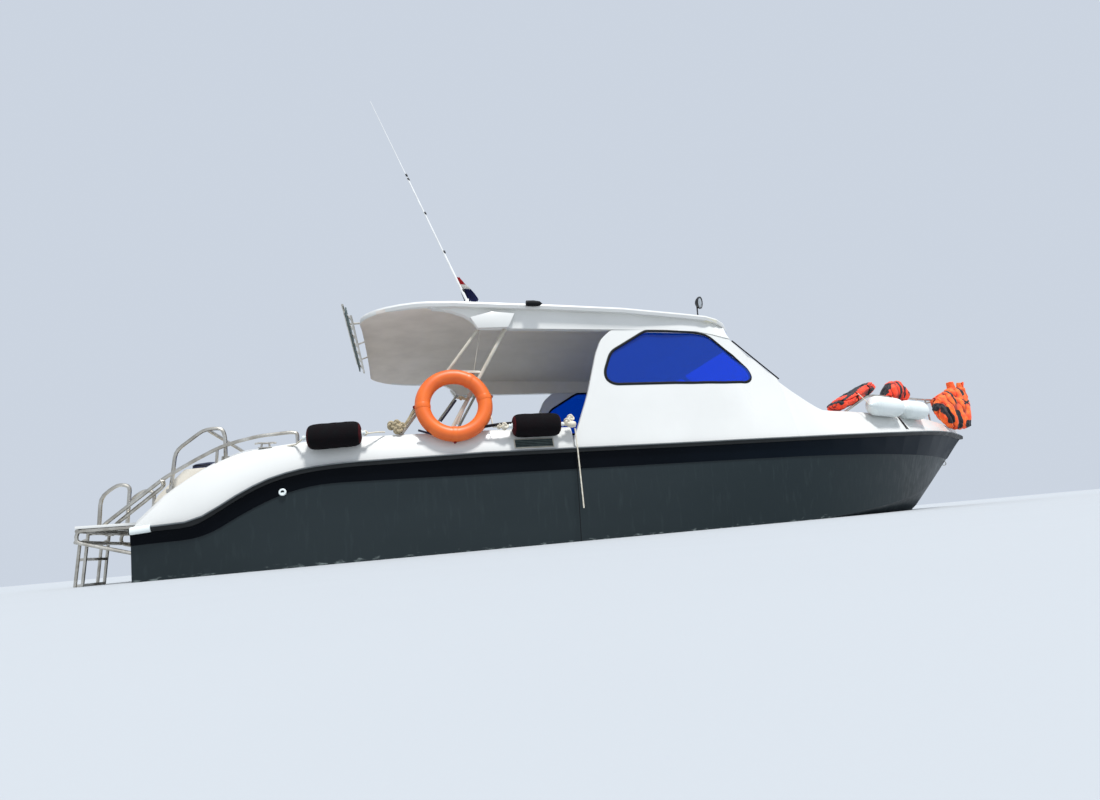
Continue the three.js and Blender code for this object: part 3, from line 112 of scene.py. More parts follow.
@dataclass(frozen=True)
class Finish:
    """A surface finish: a base colour with slow drift, a fine bump, and its gloss."""

    name: str
    colour: int
    drift: int | None = None
    drift_mm: float = 400.0
    stretch: Place = (1.0, 1.0, 1.0)
    roughness: float = 0.4
    roughness_drift: float = 0.08
    metallic: float = 0.0
    coat: float = 0.0
    grain_mm: float = 4.0
    grain_depth_mm: float = 0.02
    sheen: float = 0.0
    specular: float = 0.5

    def build(self) -> bpy.types.Material:
        """Makes the material.

        Returns:
            The material, ready for a slot.
        """
        material = bpy.data.materials.new(self.name)
        material.use_nodes = True
        tree = material.node_tree
        tree.nodes.clear()
        place = put(tree, "ShaderNodeTexCoord").outputs["Object"]
        values = {
            "Metallic": self.metallic, "Coat Weight": self.coat, "Coat Roughness": 0.06,
            "Sheen Weight": self.sheen, "Specular IOR Level": self.specular,
        }
        surface = put(tree, "ShaderNodeBsdfPrincipled", values)
        self.paint(tree, place, surface)
        out = put(tree, "ShaderNodeOutputMaterial")
        tree.links.new(surface.outputs["BSDF"], out.inputs["Surface"])
        material.diffuse_color = linear(self.colour)
        return material

    def paint(self, tree: Tree, place: Socket, surface: Node) -> None:
        """Wires colour, roughness and bump.

        Args:
            tree: The material's node tree.
            place: Object coordinates in metres.
            surface: The surface shader.
        """
        drift = self.cloud(tree, place, self.drift_mm, self.stretch)
        tree.links.new(self.tinted(tree, drift), surface.inputs["Base Color"])
        self.gloss(tree, drift, surface)
        self.grained(tree, place, surface)

    def tinted(self, tree: Tree, drift: Socket) -> Socket:
        """The base colour, which drifts with a noise."""
        return self.blend(tree, drift, linear(self.colour), linear(self.drift or self.colour))

    def cloud(
        self, tree: Tree, place: Socket, size_mm: float, stretch: Place = (1.0, 1.0, 1.0), detail: float = 4.0
    ) -> Socket:
        """Soft noise of one size, drawn out along an axis where stretch is over 1.

        Args:
            tree: The material's node tree.
            place: Object coordinates in metres.
            size_mm: Size of the noise's features.
            stretch: How many times longer they are along X, Y and Z.
            detail: Octaves of finer noise.

        Returns:
            The noise, about 0.3 to 0.7.
        """
        scale = tuple(1 / s for s in stretch)
        mapped = put(tree, "ShaderNodeMapping", {"Vector": place, "Scale": scale})
        values = {"Vector": mapped.outputs["Vector"], "Scale": per_metre(size_mm), "Detail": detail}
        return put(tree, "ShaderNodeTexNoise", values).outputs["Fac"]

    def blend(
        self, tree: Tree, share: Socket, first: tuple | Socket, second: tuple | Socket, low: float = 0.35,
        high: float = 0.65,
    ) -> Socket:
        """Mixes two colours by a noise value between two thresholds.

        Args:
            tree: The material's node tree.
            share: The noise value.
            first: Colour under the low threshold.
            second: Colour over the high threshold.
            low: Lower threshold.
            high: Upper threshold.

        Returns:
            The mixed colour.
        """
        fac = put(tree, "ShaderNodeMapRange", {"Value": share, "From Min": low, "From Max": high})
        ends = {"Factor": fac.outputs["Result"], 6: first, 7: second}
        return put(tree, "ShaderNodeMix", ends, data_type="RGBA").outputs[2]

    def gloss(self, tree: Tree, drift: Socket, surface: Node) -> None:
        """Lets the roughness wander about its own value.

        Args:
            tree: The material's node tree.
            drift: The noise that it follows.
            surface: The surface shader.
        """
        values = {
            "Value": drift, "From Min": 0.3, "From Max": 0.7,
            "To Min": max(self.roughness - self.roughness_drift, 0.02),
            "To Max": self.roughness + self.roughness_drift,
        }
        spread = put(tree, "ShaderNodeMapRange", values)
        tree.links.new(spread.outputs["Result"], surface.inputs["Roughness"])

    def emboss(self, tree: Tree, height: Socket, surface: Node, depth_mm: float) -> None:
        """Raises the surface by a height map.

        Args:
            tree: The material's node tree.
            height: The height map.
            surface: The surface shader.
            depth_mm: How far it raises the surface.
        """
        bump = put(tree, "ShaderNodeBump", {"Height": height, "Strength": 1.0, "Distance": depth_mm * MM})
        tree.links.new(bump.outputs["Normal"], surface.inputs["Normal"])

    def grained(self, tree: Tree, place: Socket, surface: Node) -> None:
        """Gives the surface its fine bump."""
        self.emboss(tree, self.cloud(tree, place, self.grain_mm), surface, self.grain_depth_mm)


@dataclass(frozen=True)
class Graded(Finish):
    """A finish whose colour changes along the boat, from aft to forward."""

    forward: int = 0x808080
    aft_x: float = -5.0
    fore_x: float = 5.0

    def paint(self, tree: Tree, place: Socket, surface: Node) -> None:
        """Wires the gradient, its drift, gloss and bump.

        Args:
            tree: The material's node tree.
            place: Object coordinates in metres.
            surface: The surface shader.
        """
        drift = self.cloud(tree, place, self.drift_mm, self.stretch)
        shade = self.graded(tree, place, self.tinted(tree, drift))
        tree.links.new(shade, surface.inputs["Base Color"])
        self.gloss(tree, drift, surface)
        self.grained(tree, place, surface)

    def graded(self, tree: Tree, place: Socket, shade: Socket) -> Socket:
        """Turns the colour towards the forward one along the boat.

        Args:
            tree: The material's node tree.
            place: Object coordinates in metres.
            shade: The colour aft.

        Returns:
            The colour at each place.
        """
        along = put(tree, "ShaderNodeSeparateXYZ", {"Vector": place}).outputs["X"]
        return self.blend(tree, along, shade, linear(self.forward), self.aft_x, self.fore_x)


@dataclass(frozen=True)
class WeatheredHull(Graded):
    """Two-pack paint on the topsides: faint rain streaks down it, and chalky scuffs near the water."""

    streak: int = 0x3A4446
    streak_mm: float = 40.0
    scuff: int = 0x7C8684
    scuff_mm: float = 26.0
    splash_high: float = 0.16
    splash_full: float = 0.01
    under_full: float = -0.01
    under_low: float = -0.10

    def paint(self, tree: Tree, place: Socket, surface: Node) -> None:
        """Wires the streaks and the scuffed zone over the paint.

        Args:
            tree: The material's node tree.
            place: Object coordinates in metres.
            surface: The surface shader.
        """
        long = (3.0, 3.0, 1.0)
        drift = self.cloud(tree, place, self.drift_mm, long)
        shade = self.graded(tree, place, self.tinted(tree, drift))
        rain = self.cloud(tree, place, self.streak_mm, (1.0, 1.0, 22.0), 5.0)
        shade = self.blend(tree, rain, shade, linear(self.streak), 0.55, 1.05)
        scrape = self.cloud(tree, place, self.scuff_mm, long, 8.0)
        patch = self.times(tree, scrape, self.splashed(tree, place))
        shade = self.blend(tree, patch, shade, linear(self.scuff), 0.54, 0.72)
        tree.links.new(shade, surface.inputs["Base Color"])
        self.gloss(tree, rain, surface)
        self.grained(tree, place, surface)

    def splashed(self, tree: Tree, place: Socket) -> Socket:
        """The share of splash at each height: all of it at the waterline, none high up or well under water.

        Args:
            tree: The material's node tree.
            place: Object coordinates in metres.

        Returns:
            The share, from 0 to 1.
        """
        height = put(tree, "ShaderNodeSeparateXYZ", {"Vector": place}).outputs["Z"]
        shares = []
        for none, full in ((self.splash_high, self.splash_full), (self.under_low, self.under_full)):
            values = {"Value": height, "From Min": none, "From Max": full}
            shares.append(put(tree, "ShaderNodeMapRange", values).outputs["Result"])
        return self.times(tree, *shares)

    def times(self, tree: Tree, first: Socket, second: Socket) -> Socket:
        """One value times another."""
        return put(tree, "ShaderNodeMath", {0: first, 1: second}, operation="MULTIPLY").outputs["Value"]


@dataclass(frozen=True)
class Striped(Finish):
    """Bunting in three level stripes, woven fine and faded."""

    middle: int = 0xE9E7E2
    top: int = 0xB4232B
    first_z: float = 2.66
    second_z: float = 2.71
    blur: float = 0.004

    def paint(self, tree: Tree, place: Socket, surface: Node) -> None:
        """Wires the stripes by height.

        Args:
            tree: The material's node tree.
            place: Object coordinates in metres.
            surface: The surface shader.
        """
        height = put(tree, "ShaderNodeSeparateXYZ", {"Vector": place}).outputs["Z"]
        shade = linear(self.colour)
        for colour, edge_z in ((self.middle, self.first_z), (self.top, self.second_z)):
            shade = self.blend(tree, height, shade, linear(colour), edge_z, edge_z + self.blur)
        tree.links.new(shade, surface.inputs["Base Color"])
        self.gloss(tree, self.cloud(tree, place, self.drift_mm), surface)
        self.grained(tree, place, surface)


@dataclass(frozen=True)
class Woven(Finish):
    """Cloth with crossing threads, drawn on the piece's own coordinates."""

    thread_mm: float = 3.0
    thread_depth_mm: float = 0.25
    # Colours of the painted shade deep in the folds, and of the dark places where the lining shows and where
    # shade is painted.
    crease: int | None = None
    lining: int = 0x0E0A14

    def paint(self, tree: Tree, place: Socket, surface: Node) -> None:
        """Wires the drift of colour; the painted shade in a creased cloth's folds and its dark places, where
        the lining shows and where shade is painted; and the threads' bump.

        Args:
            tree: The material's node tree.
            place: Object coordinates in metres.
            surface: The surface shader.
        """
        drift = self.cloud(tree, place, self.drift_mm, self.stretch)
        shade = self.tinted(tree, drift)
        if self.crease is not None:
            # Painted shade: the crease colour darkens the cloth where its folds sink deep.
            fold = put(tree, "ShaderNodeAttribute", attribute_name="fold").outputs["Fac"]
            shade = self.blend(tree, fold, shade, linear(self.crease), 0.35, 0.9)
            # Part painted shade: the dark colour covers the places where the lining shows and where shade falls
            # on the jacket.
            inner = put(tree, "ShaderNodeAttribute", attribute_name="lining").outputs["Fac"]
            shade = self.blend(tree, inner, shade, linear(self.lining), 0.4, 0.6)
        tree.links.new(shade, surface.inputs["Base Color"])
        self.gloss(tree, drift, surface)
        scale = per_metre(self.thread_mm) / 2
        values = {"Vector": place, "Scale": scale / math.pi, "Distortion": 1.0, "Detail": 1.0}
        threads = [
            put(tree, "ShaderNodeTexWave", values, bands_direction=axis).outputs["Fac"]
            for axis in ("DIAGONAL", "Z")
        ]
        height = put(tree, "ShaderNodeMath", {0: threads[0], 1: threads[1]}, operation="MULTIPLY")
        self.emboss(tree, height.outputs["Value"], surface, self.thread_depth_mm)


@dataclass(frozen=True)
class TintedGlass(Finish):
    """Float glass, filmed blue: it passes blue light and mirrors the sky; it also glows faintly blue, which is
    painted light.
    """

    clear: float = 0.6
    glow_colour: int = 0x0A3FA8
    painted_glow: float = 0.12

    def paint(self, tree: Tree, place: Socket, surface: Node) -> None:
        """Sets the glass and its painted glow, with a faint smear in its roughness.

        Args:
            tree: The material's node tree.
            place: Object coordinates in metres.
            surface: The surface shader.
        """
        surface.inputs["Base Color"].default_value = linear(self.colour)
        surface.inputs["Transmission Weight"].default_value = self.clear
        # Painted light: the emission makes the glass glow blue.
        surface.inputs["Emission Color"].default_value = linear(self.glow_colour)
        surface.inputs["Emission Strength"].default_value = self.painted_glow
        self.gloss(tree, self.cloud(tree, place, self.drift_mm), surface)


@dataclass(frozen=True)
class Brushed(Finish):
    """Polished stainless tube: fine drawn lines and a warm, slightly stained grey."""

    def paint(self, tree: Tree, place: Socket, surface: Node) -> None:
        """Wires stain, drawn lines and their roughness.

        Args:
            tree: The material's node tree.
            place: Object coordinates in metres.
            surface: The surface shader.
        """
        stain = self.cloud(tree, place, self.drift_mm, self.stretch, 6.0)
        tree.links.new(self.tinted(tree, stain), surface.inputs["Base Color"])
        lines = self.cloud(tree, place, self.grain_mm, (12.0, 1.0, 12.0))
        self.gloss(tree, lines, surface)
        self.emboss(tree, lines, surface, self.grain_depth_mm)


class Paint(Enum):
    """Every finish on the boat."""

    # Two-pack polyurethane over glassfibre, years old: a dull charcoal; the deep teal that it turns to forward
    # is a painted sheen, the cast that the light gives the flared bow
    HULL = WeatheredHull(
        "topside_polyurethane", 0x262F32, 0x212A2D, 900.0, roughness=0.46, roughness_drift=0.07, specular=0.2,
        grain_mm=9.0, grain_depth_mm=0.04, forward=0x0C1F24, aft_x=-1.0, fore_x=4.6, streak=0x333D3F,
    )
    # The same paint in near-black, fresher and more even; its navy cast forward is a painted sheen, as on the
    # hull
    BAND = Graded(
        "sheer_polyurethane", 0x05080D, 0x080C12, 700.0, roughness=0.44, roughness_drift=0.05, grain_mm=8.0,
        specular=0.05, forward=0x0A1A26, aft_x=-1.0, fore_x=4.6,
    )
    # White gelcoat: hard and smooth, a little chalky, with a soft shine
    GELCOAT = Finish(
        "white_gelcoat", 0xE0E0DC, 0xD9D9D5, 800.0, roughness=0.34, coat=0.2, grain_mm=7.0, grain_depth_mm=0.03,
    )
    # Cream moulded glassfibre with a fine orange peel
    LINER = Finish(
        "moulded_liner", 0xDDD7CA, 0xCFC8BA, 350.0, roughness=0.45, grain_mm=5.0, grain_depth_mm=0.08,
    )
    # Foam-backed vinyl lining under the roof: matt, beige; the greyer tint forward is painted shade
    LINING = Graded(
        "vinyl_headlining", 0xEDE3D8, 0xE2D8CD, 260.0, roughness=0.8, grain_mm=3.0, grain_depth_mm=0.15,
        forward=0xE6E2CE, aft_x=-3.0, fore_x=0.5,
    )
    # PVC strake: dark and dull where it meets the paint. Its outer bead is grey, a painted highlight along the
    # strake's top edge
    RAIL_RUBBER = Finish(
        "strake_pvc", 0x121516, 0x1D2021, 180.0, roughness=0.5, grain_mm=3.0, specular=0.25,
    )
    RAIL_HIGHLIGHT = Finish("chalked_pvc", 0x6E7375, 0x585D5F, 240.0, roughness=0.6, grain_mm=3.0)
    # EPDM rubber: black, matt
    RUBBER = Finish("epdm_rubber", 0x07090C, 0x0E1013, 60.0, roughness=0.62, specular=0.2, grain_mm=1.5)
    # Stainless tube 316, tarnished by salt: warm grey with drawn lines
    STAINLESS = Brushed(
        "stainless_tube", 0xCFCBC2, 0xACA69B, 90.0, roughness=0.3, metallic=1.0, grain_mm=1.2,
        grain_depth_mm=0.01,
    )
    # Powder-coated steel tube: beige with age on the struts, white elsewhere
    STRUT = Finish("powder_coated_strut", 0xCBC5B7, 0xB5AE9F, 120.0, roughness=0.45, grain_mm=2.0)
    WHITE_TUBE = Finish("powder_coated_tube", 0xE9E9E5, 0xD8D8D2, 160.0, roughness=0.36, grain_mm=2.0)
    # Toughened glass under a blue film: deep blue from outside, the raked screen paler. Both give off a painted
    # blue glow, the screen's stronger
    BLUE_GLASS = TintedGlass(
        "film_tinted_glass", 0x0048C0, drift_mm=300.0, roughness=0.04, roughness_drift=0.02, clear=0.65,
        glow_colour=0x0040B0, painted_glow=0.08, specular=0.12,
    )
    SCREEN_GLASS = TintedGlass(
        "film_tinted_screen", 0x5AA6FF, drift_mm=300.0, roughness=0.04, roughness_drift=0.02, clear=0.9,
        glow_colour=0x1080FF, painted_glow=0.5, specular=0.3,
    )
    # Rotomoulded polyethylene ring shell: waxy orange
    RING = Finish(
        "rotomoulded_polyethylene", 0xE86E24, 0xDF6220, 160.0, roughness=0.42, grain_mm=6.0,
        grain_depth_mm=0.06,
    )
    # Braided polyester: dark red, dull
    LASHING = Woven("polyester_lashing", 0x7A1420, 0x5E0F1A, 30.0, roughness=0.85, thread_mm=4.0)
    # Nylon oxford over foam: strong orange-red or amber, matt, puckered; its threads are drawn coarse to show,
    # and its folds darken to dark red, painted shade
    JACKET = Woven(
        "nylon_oxford", 0xFF4A14, 0xF23408, 110.0, roughness=0.7, sheen=0.15, thread_mm=3.0,
        crease=0x7A0E10,
    )
    AMBER = Woven(
        "nylon_oxford_amber", 0xFF7A1C, 0xFF4A12, 90.0, roughness=0.7, sheen=0.15, thread_mm=3.0,
        crease=0x8A140C,
    )
    # Woven polypropylene belt: near black, flat
    WEBBING = Woven(
        "polypropylene_webbing", 0x0C080B, 0x180D11, 40.0, specular=0.2, roughness=0.8, thread_mm=4.0,
    )
    NAVY_CLOTH = Woven("nylon_oxford_navy", 0x12122E, 0x0C0C1E, 60.0, roughness=0.8, thread_mm=3.0)
    # Knitted acrylic sock: black with a brown cast, ribs along it, its drawn ends in dark red
    COVER = Woven(
        "knitted_acrylic", 0x08070A, 0x110B0E, 60.0, roughness=0.92, specular=0.15, thread_mm=8.0,
        thread_depth_mm=0.8,
    )
    PIPING = Woven(
        "knitted_acrylic_red", 0x4A0A12, 0x30080E, 40.0, roughness=0.9, specular=0.2, thread_mm=5.0,
    )
    # Blown PVC fender: satin white with a grey cast
    FENDER = Finish("blown_pvc", 0xE6ECEA, 0xDEE6E4, 400.0, roughness=0.4, grain_mm=4.0, grain_depth_mm=0.04)
    # Upholstery vinyl: navy, satin, with an embossed grain
    VINYL = Finish(
        "upholstery_vinyl", 0x1B2342, 0x151B34, 140.0, roughness=0.5, grain_mm=1.6, grain_depth_mm=0.12,
    )
    # Moulded ABS: satin, with a spark-eroded grain
    BLACK_PLASTIC = Finish("moulded_black_abs", 0x141517, 0x1D1F21, 80.0, roughness=0.45, grain_mm=1.5)
    GREY_PLASTIC = Finish("moulded_grey_abs", 0x5C6A69, 0x4A5857, 60.0, roughness=0.55, grain_mm=1.5)
    # Polycarbonate: a pale grey face under a glossy skin
    LENS = Finish("polycarbonate_lens", 0xB9BFC2, 0x9DA3A7, 30.0, roughness=0.2, grain_mm=3.0)
    # Painted glassfibre rod: off-white, smooth
    WHIP = Finish("whip_glassfibre", 0xF0F0EE, 0xDEDEDC, 90.0, roughness=0.35)
    # Cast bronze: brown-gold, dulled in the hollows
    BRONZE = Brushed("cast_bronze", 0xA77B3C, 0x7C6034, 60.0, roughness=0.38, metallic=1.0, grain_mm=2.0)
    # Sprayed enamel on iron: flat grey
    ENGINE = Finish("engine_enamel", 0x6D7276, 0x5D6266, 120.0, roughness=0.5)
    # Three-strand polyester, weathered cream, and old hemp that has gone brown
    ROPE = Woven(
        "laid_polyester", 0xE2DCCD, 0xC9C0AC, 30.0, roughness=0.9, thread_mm=5.0, thread_depth_mm=0.6,
    )
    OLD_ROPE = Woven(
        "weathered_hemp", 0xB7A98C, 0x8F8268, 25.0, roughness=0.95, thread_mm=5.0, thread_depth_mm=0.6,
    )
    # Polyester bunting: navy, white and red stripes, faded
    FLAG = Striped(
        "polyester_bunting", 0x1D2458, drift_mm=40.0, roughness=0.85, grain_mm=2.0, grain_depth_mm=0.1,
    )

    @property
    def material(self) -> bpy.types.Material:
        """The built material, made once."""
        found = bpy.data.materials.get(self.value.name)
        return found or self.value.build()


# Mesh helpers


def object_of(name: str, bm: Shape, paint: Paint, sharp_deg: float = 35.0) -> Piece:
    """Turns a bmesh into an object with smooth faces and sharp edges where it bends hard.

    Args:
        name: The piece's name.
        bm: Its shape, in metres in the boat's frame. It is freed.
        paint: Its finish.
        sharp_deg: Edges that bend more than this stay sharp.

    Returns:
        The object, linked into the scene.
    """
    limit = math.radians(sharp_deg)
    for face in bm.faces:
        face.smooth = True
    for edge in bm.edges:
        edge.smooth = len(edge.link_faces) == 2 and edge.calc_face_angle(0.0) < limit
    mesh = bpy.data.meshes.new(name)
    bm.to_mesh(mesh)
    bm.free()
    kept = mesh.attributes.get("custom_normal")
    if kept:
        mesh.attributes.remove(kept)
    mesh.materials.append(paint.material)
    made = bpy.data.objects.new(name, mesh)
    bpy.context.scene.collection.objects.link(made)
    return made


def copied(node: str, flat_joined: bool = False) -> Shape:
    """A merged copy of a CAD node's mesh.

    Args:
        node: The node's name.
        flat_joined: Whether triangles that lie in one plane become one face.

    Returns:
        The copy as a bmesh.
    """
    bm = bmesh.new()
    bm.from_mesh(FRAME["nodes"][node].data)
    bmesh.ops.remove_doubles(bm, verts=bm.verts, dist=WELD_MM * MM)
    if flat_joined:
        bmesh.ops.dissolve_limit(
            bm, angle_limit=math.radians(0.1), use_dissolve_boundaries=False, verts=bm.verts, edges=bm.edges
        )
    return bm


def soften(bm: Shape, width_mm: float, over_deg: float = 38.0) -> None:
    """Bevels the edges of a shape that bend more than an angle.

    Args:
        bm: The shape.
        width_mm: Width of the bevel.
        over_deg: Edges that bend more than this are bevelled.
    """
    limit = math.radians(over_deg)
    hard = [e for e in bm.edges if len(e.link_faces) == 2 and e.calc_face_angle(0.0) > limit]
    bmesh.ops.bevel(
        bm, geom=hard, offset=width_mm * MM, affect="EDGES", segments=2, profile=0.5, material=-1,
        clamp_overlap=True,
    )


def dressed(node: str, paint: Paint, bevel_mm: float = 0.0) -> Piece:
    """Stands a smooth, bevelled copy of a CAD node in for it.

    Args:
        node: The node's name.
        paint: Its finish.
        bevel_mm: Width of the bevel on its hard edges, or 0 for none.

    Returns:
        The copy, riding on the node's own body.
    """
    bm = copied(node, flat_joined=bevel_mm > 0)
    if bevel_mm:
        soften(bm, bevel_mm)
    made = object_of(f"{node}_dressed", bm, paint)
    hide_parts(node)
    return riding(made, BODY_OF[node])


def riding(made: Piece, body: str) -> Piece:
    """Sets a finished piece on its body.

    Args:
        made: The piece.
        body: The body that carries it.

    Returns:
        The same piece.
    """
    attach(made, body)
    LOG.info("%s on %s", made.name, body)
    return made


def trim(name: str, bm: Shape, paint: Paint, sharp_deg: float = 35.0, body: str = BOAT) -> Piece:
    """Makes a piece of trim from a shape and sets it on its body.

    Args:
        name: The piece's name.
        bm: Its shape, in metres in the boat's frame. It is freed.
        paint: Its finish.
        sharp_deg: Edges that bend more than this stay sharp.
        body: The body that carries it.

    Returns:
        The finished piece.
    """
    return riding(object_of(name, bm, paint, sharp_deg), body)


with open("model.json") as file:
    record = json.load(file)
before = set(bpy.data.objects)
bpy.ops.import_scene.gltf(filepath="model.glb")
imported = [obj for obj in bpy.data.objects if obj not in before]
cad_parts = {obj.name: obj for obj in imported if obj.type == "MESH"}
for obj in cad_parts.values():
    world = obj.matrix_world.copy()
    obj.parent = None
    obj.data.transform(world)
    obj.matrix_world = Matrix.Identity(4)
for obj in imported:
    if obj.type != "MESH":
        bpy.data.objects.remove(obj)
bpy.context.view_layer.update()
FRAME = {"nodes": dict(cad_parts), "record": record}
BODY_OF = {node: body for body, nodes in FRAME["record"]["behaviour"]["bodies"].items() for node in nodes}


def swept(
    route: Sequence[Point],
    radius_mm: float,
    sides: int = 12,
    closed: bool = False,
    out: Sequence[Point] | None = None,
    thin: float = 1.0,
) -> Shape:
    """A tube or a flat strap along a route, extruded step by step from one oval.

    Args:
        route: The points that its middle follows, in metres.
        radius_mm: Half its width.
        sides: Sides of its section.
        closed: Whether its end joins its start.
        out: The direction away from the surface at each point, where the section is flat.
        thin: Its thickness as a share of its width.

    Returns:
        The tube, with capped ends unless it is closed.
    """
    points = [Vector(p) for p in route]
    count = len(points)
    stands = []
    turn = None
    for i in range(count):
        before = points[(i - 1) % count] if closed or i else points[i]
        after = points[(i + 1) % count] if closed or i < count - 1 else points[i]
        along = (after - before).normalized()
        if out:
            across = Vector(out[i]).cross(along).normalized()
            turn = Matrix((across, along.cross(across), along)).transposed()
        elif turn is None:
            turn = Vector((0, 0, 1)).rotation_difference(along).to_matrix()
        else:
            turn = last.rotation_difference(along).to_matrix() @ turn
        last = along
        stands.append(Matrix.Translation(points[i]) @ turn.to_4x4())
    bm = bmesh.new()
    bmesh.ops.create_circle(bm, segments=sides, radius=radius_mm * MM)
    bmesh.ops.scale(bm, vec=(1, thin, 1), verts=bm.verts)
    bmesh.ops.transform(bm, matrix=stands[0], verts=bm.verts)
    first = loop = bm.edges[:]
    for i in range(1, count):
        grown = bmesh.ops.extrude_edge_only(bm, edges=loop)["geom"]
        verts = [g for g in grown if isinstance(g, bmesh.types.BMVert)]
        loop = [g for g in grown if isinstance(g, bmesh.types.BMEdge)]
        bmesh.ops.transform(bm, matrix=stands[i] @ stands[i - 1].inverted(), verts=verts)
    if closed:
        bmesh.ops.bridge_loops(bm, edges=first + loop)
    else:
        bmesh.ops.holes_fill(bm, edges=bm.edges, sides=0)
    bmesh.ops.recalc_face_normals(bm, faces=bm.faces)
    return bm


def turned(profile: Sequence[Point], foot: Point, axis: Point, steps: int = 40) -> Shape:
    """A round form spun from a profile.

    Args:
        profile: Radius and height along the axis, in mm. It starts and ends on the axis, or closes on itself.
        foot: Where the axis starts, in metres.
        axis: Its direction.
        steps: Segments round it.

    Returns:
        The closed form.
    """
    bm = bmesh.new()
    verts = [bm.verts.new((radius * MM, 0, height * MM)) for radius, height in profile]
    edges = [bm.edges.new(pair) for pair in zip(verts, verts[1:])]
    bmesh.ops.spin(
        bm, geom=verts + edges, cent=(0, 0, 0), axis=(0, 0, 1), angle=2 * math.pi, steps=steps, use_merge=True
    )
    bmesh.ops.remove_doubles(bm, verts=bm.verts, dist=SPUN_WELD_MM * MM)
    bmesh.ops.dissolve_degenerate(bm, dist=SPUN_WELD_MM * MM, edges=bm.edges)
    turn = Vector((0, 0, 1)).rotation_difference(Vector(axis).normalized()).to_matrix().to_4x4()
    bmesh.ops.transform(bm, matrix=Matrix.Translation(foot) @ turn, verts=bm.verts)
    bmesh.ops.recalc_face_normals(bm, faces=bm.faces)
    return bm


def plate(outline: Sequence[Point], thick: Point, bevel_mm: float = 2.0) -> Shape:
    """A flat plate raised from an outline.

    Args:
        outline: Its corners in metres, in order.
        thick: How far and which way it is raised, in metres.
        bevel_mm: Width of the bevel on its edges.

    Returns:
        The closed plate.
    """
    bm = bmesh.new()
    verts = [bm.verts.new(corner) for corner in outline]
    bmesh.ops.contextual_create(bm, geom=verts)
    grown = bmesh.ops.extrude_face_region(bm, geom=bm.faces[:])["geom"]
    bmesh.ops.translate(bm, vec=thick, verts=[g for g in grown if isinstance(g, bmesh.types.BMVert)])
    bmesh.ops.recalc_face_normals(bm, faces=bm.faces)
    if bevel_mm:
        soften(bm, bevel_mm, 20.0)
    return bm


def rounded_box(low: Point, high: Point, bevel_mm: float) -> Shape:
    """A box with rounded edges.

    Args:
        low: Its lowest corner, in metres.
        high: Its highest corner.
        bevel_mm: Width of the rounding.

    Returns:
        The closed box.
    """
    bm = bmesh.new()
    size = Vector(high) - Vector(low)
    middle = (Vector(low) + Vector(high)) / 2
    bmesh.ops.create_cube(bm, size=1.0, matrix=Matrix.Translation(middle))
    bmesh.ops.scale(bm, vec=size, space=Matrix.Translation(-middle), verts=bm.verts)
    bmesh.ops.bevel(
        bm, geom=bm.edges[:], offset=bevel_mm * MM, affect="EDGES", segments=4, profile=0.5, material=-1,
        clamp_overlap=True,
    )
    return bm


def joined(*shapes: Shape) -> Shape:
    """Puts several shapes into the first one.

    Args:
        shapes: The shapes. All but the first are freed.

    Returns:
        The first shape, which now holds them all.
    """
    for shape in shapes[1:]:
        spare = bpy.data.meshes.new("spare")
        shape.to_mesh(spare)
        shape.free()
        shapes[0].from_mesh(spare)
        bpy.data.meshes.remove(spare)
    return shapes[0]


def section(node: str, x: float) -> list[Vector]:
    """The points where a plane across the boat cuts a CAD node's faces.

    Args:
        node: The node's name.
        x: The plane's place along the boat.

    Returns:
        The points, in no order.
    """
    bm = copied(node)
    cut = bmesh.ops.bisect_plane(
        bm, geom=bm.verts[:] + bm.edges[:] + bm.faces[:], plane_co=(x, 0, 0), plane_no=(1, 0, 0)
    )["geom_cut"]
    points = [g.co.copy() for g in cut if isinstance(g, bmesh.types.BMVert)]
    bm.free()
    return points


class Skin:
    """The surface of one or more CAD nodes, for seating trim on it."""

    def __init__(self, *nodes: str) -> None:
        """Merges the nodes into one surface.

        Args:
            nodes: The nodes' names.
        """
        bm = joined(*(copied(node) for node in nodes))
        self.tree = BVHTree.FromBMesh(bm)
        bm.free()

    def hit(self, start: Point, way: Point) -> tuple[Vector, Vector] | None:
        """The first point that a ray meets, and the surface's direction there.

        Args:
            start: Where the ray starts.
            way: Its direction.

        Returns:
            Place and outward normal, or nothing.
        """
        place, normal, _, _ = self.tree.ray_cast(Vector(start), Vector(way).normalized())
        if place is None:
            return None
        return place, normal if normal.dot(Vector(way)) < 0 else -normal

    def laid(self, starts: Sequence[Point], way: Point, lift_mm: float = 0.0) -> tuple[list, list]:
        """A line of points let fall onto the surface.

        Args:
            starts: Where the rays start.
            way: Their direction.
            lift_mm: How far the line stands off the surface.

        Returns:
            The points and their normals.
        """
        hits = [found for found in (self.hit(start, way) for start in starts) if found]
        return [p + n * lift_mm * MM for p, n in hits], [n for _, n in hits]


def rounded(corners: Sequence[Point], radius: float, steps: int = 6) -> list[Pair]:
    """Rounds the corners of a flat outline.

    Args:
        corners: The outline's corners, as pairs.
        radius: The rounding's reach along each side.
        steps: Points at each corner.

    Returns:
        The rounded outline, closed on itself.
    """
    made = []
    count = len(corners)
    for i in range(count):
        here = Vector(corners[i])
        before = Vector(corners[i - 1]) - here
        after = Vector(corners[(i + 1) % count]) - here
        reach = min(radius, before.length / 2, after.length / 2)
        a = here + before.normalized() * reach
        b = here + after.normalized() * reach
        for k in range(steps):
            t = k / (steps - 1)
            made.append(tuple(a * (1 - t) ** 2 + here * 2 * t * (1 - t) + b * t * t))
    return made


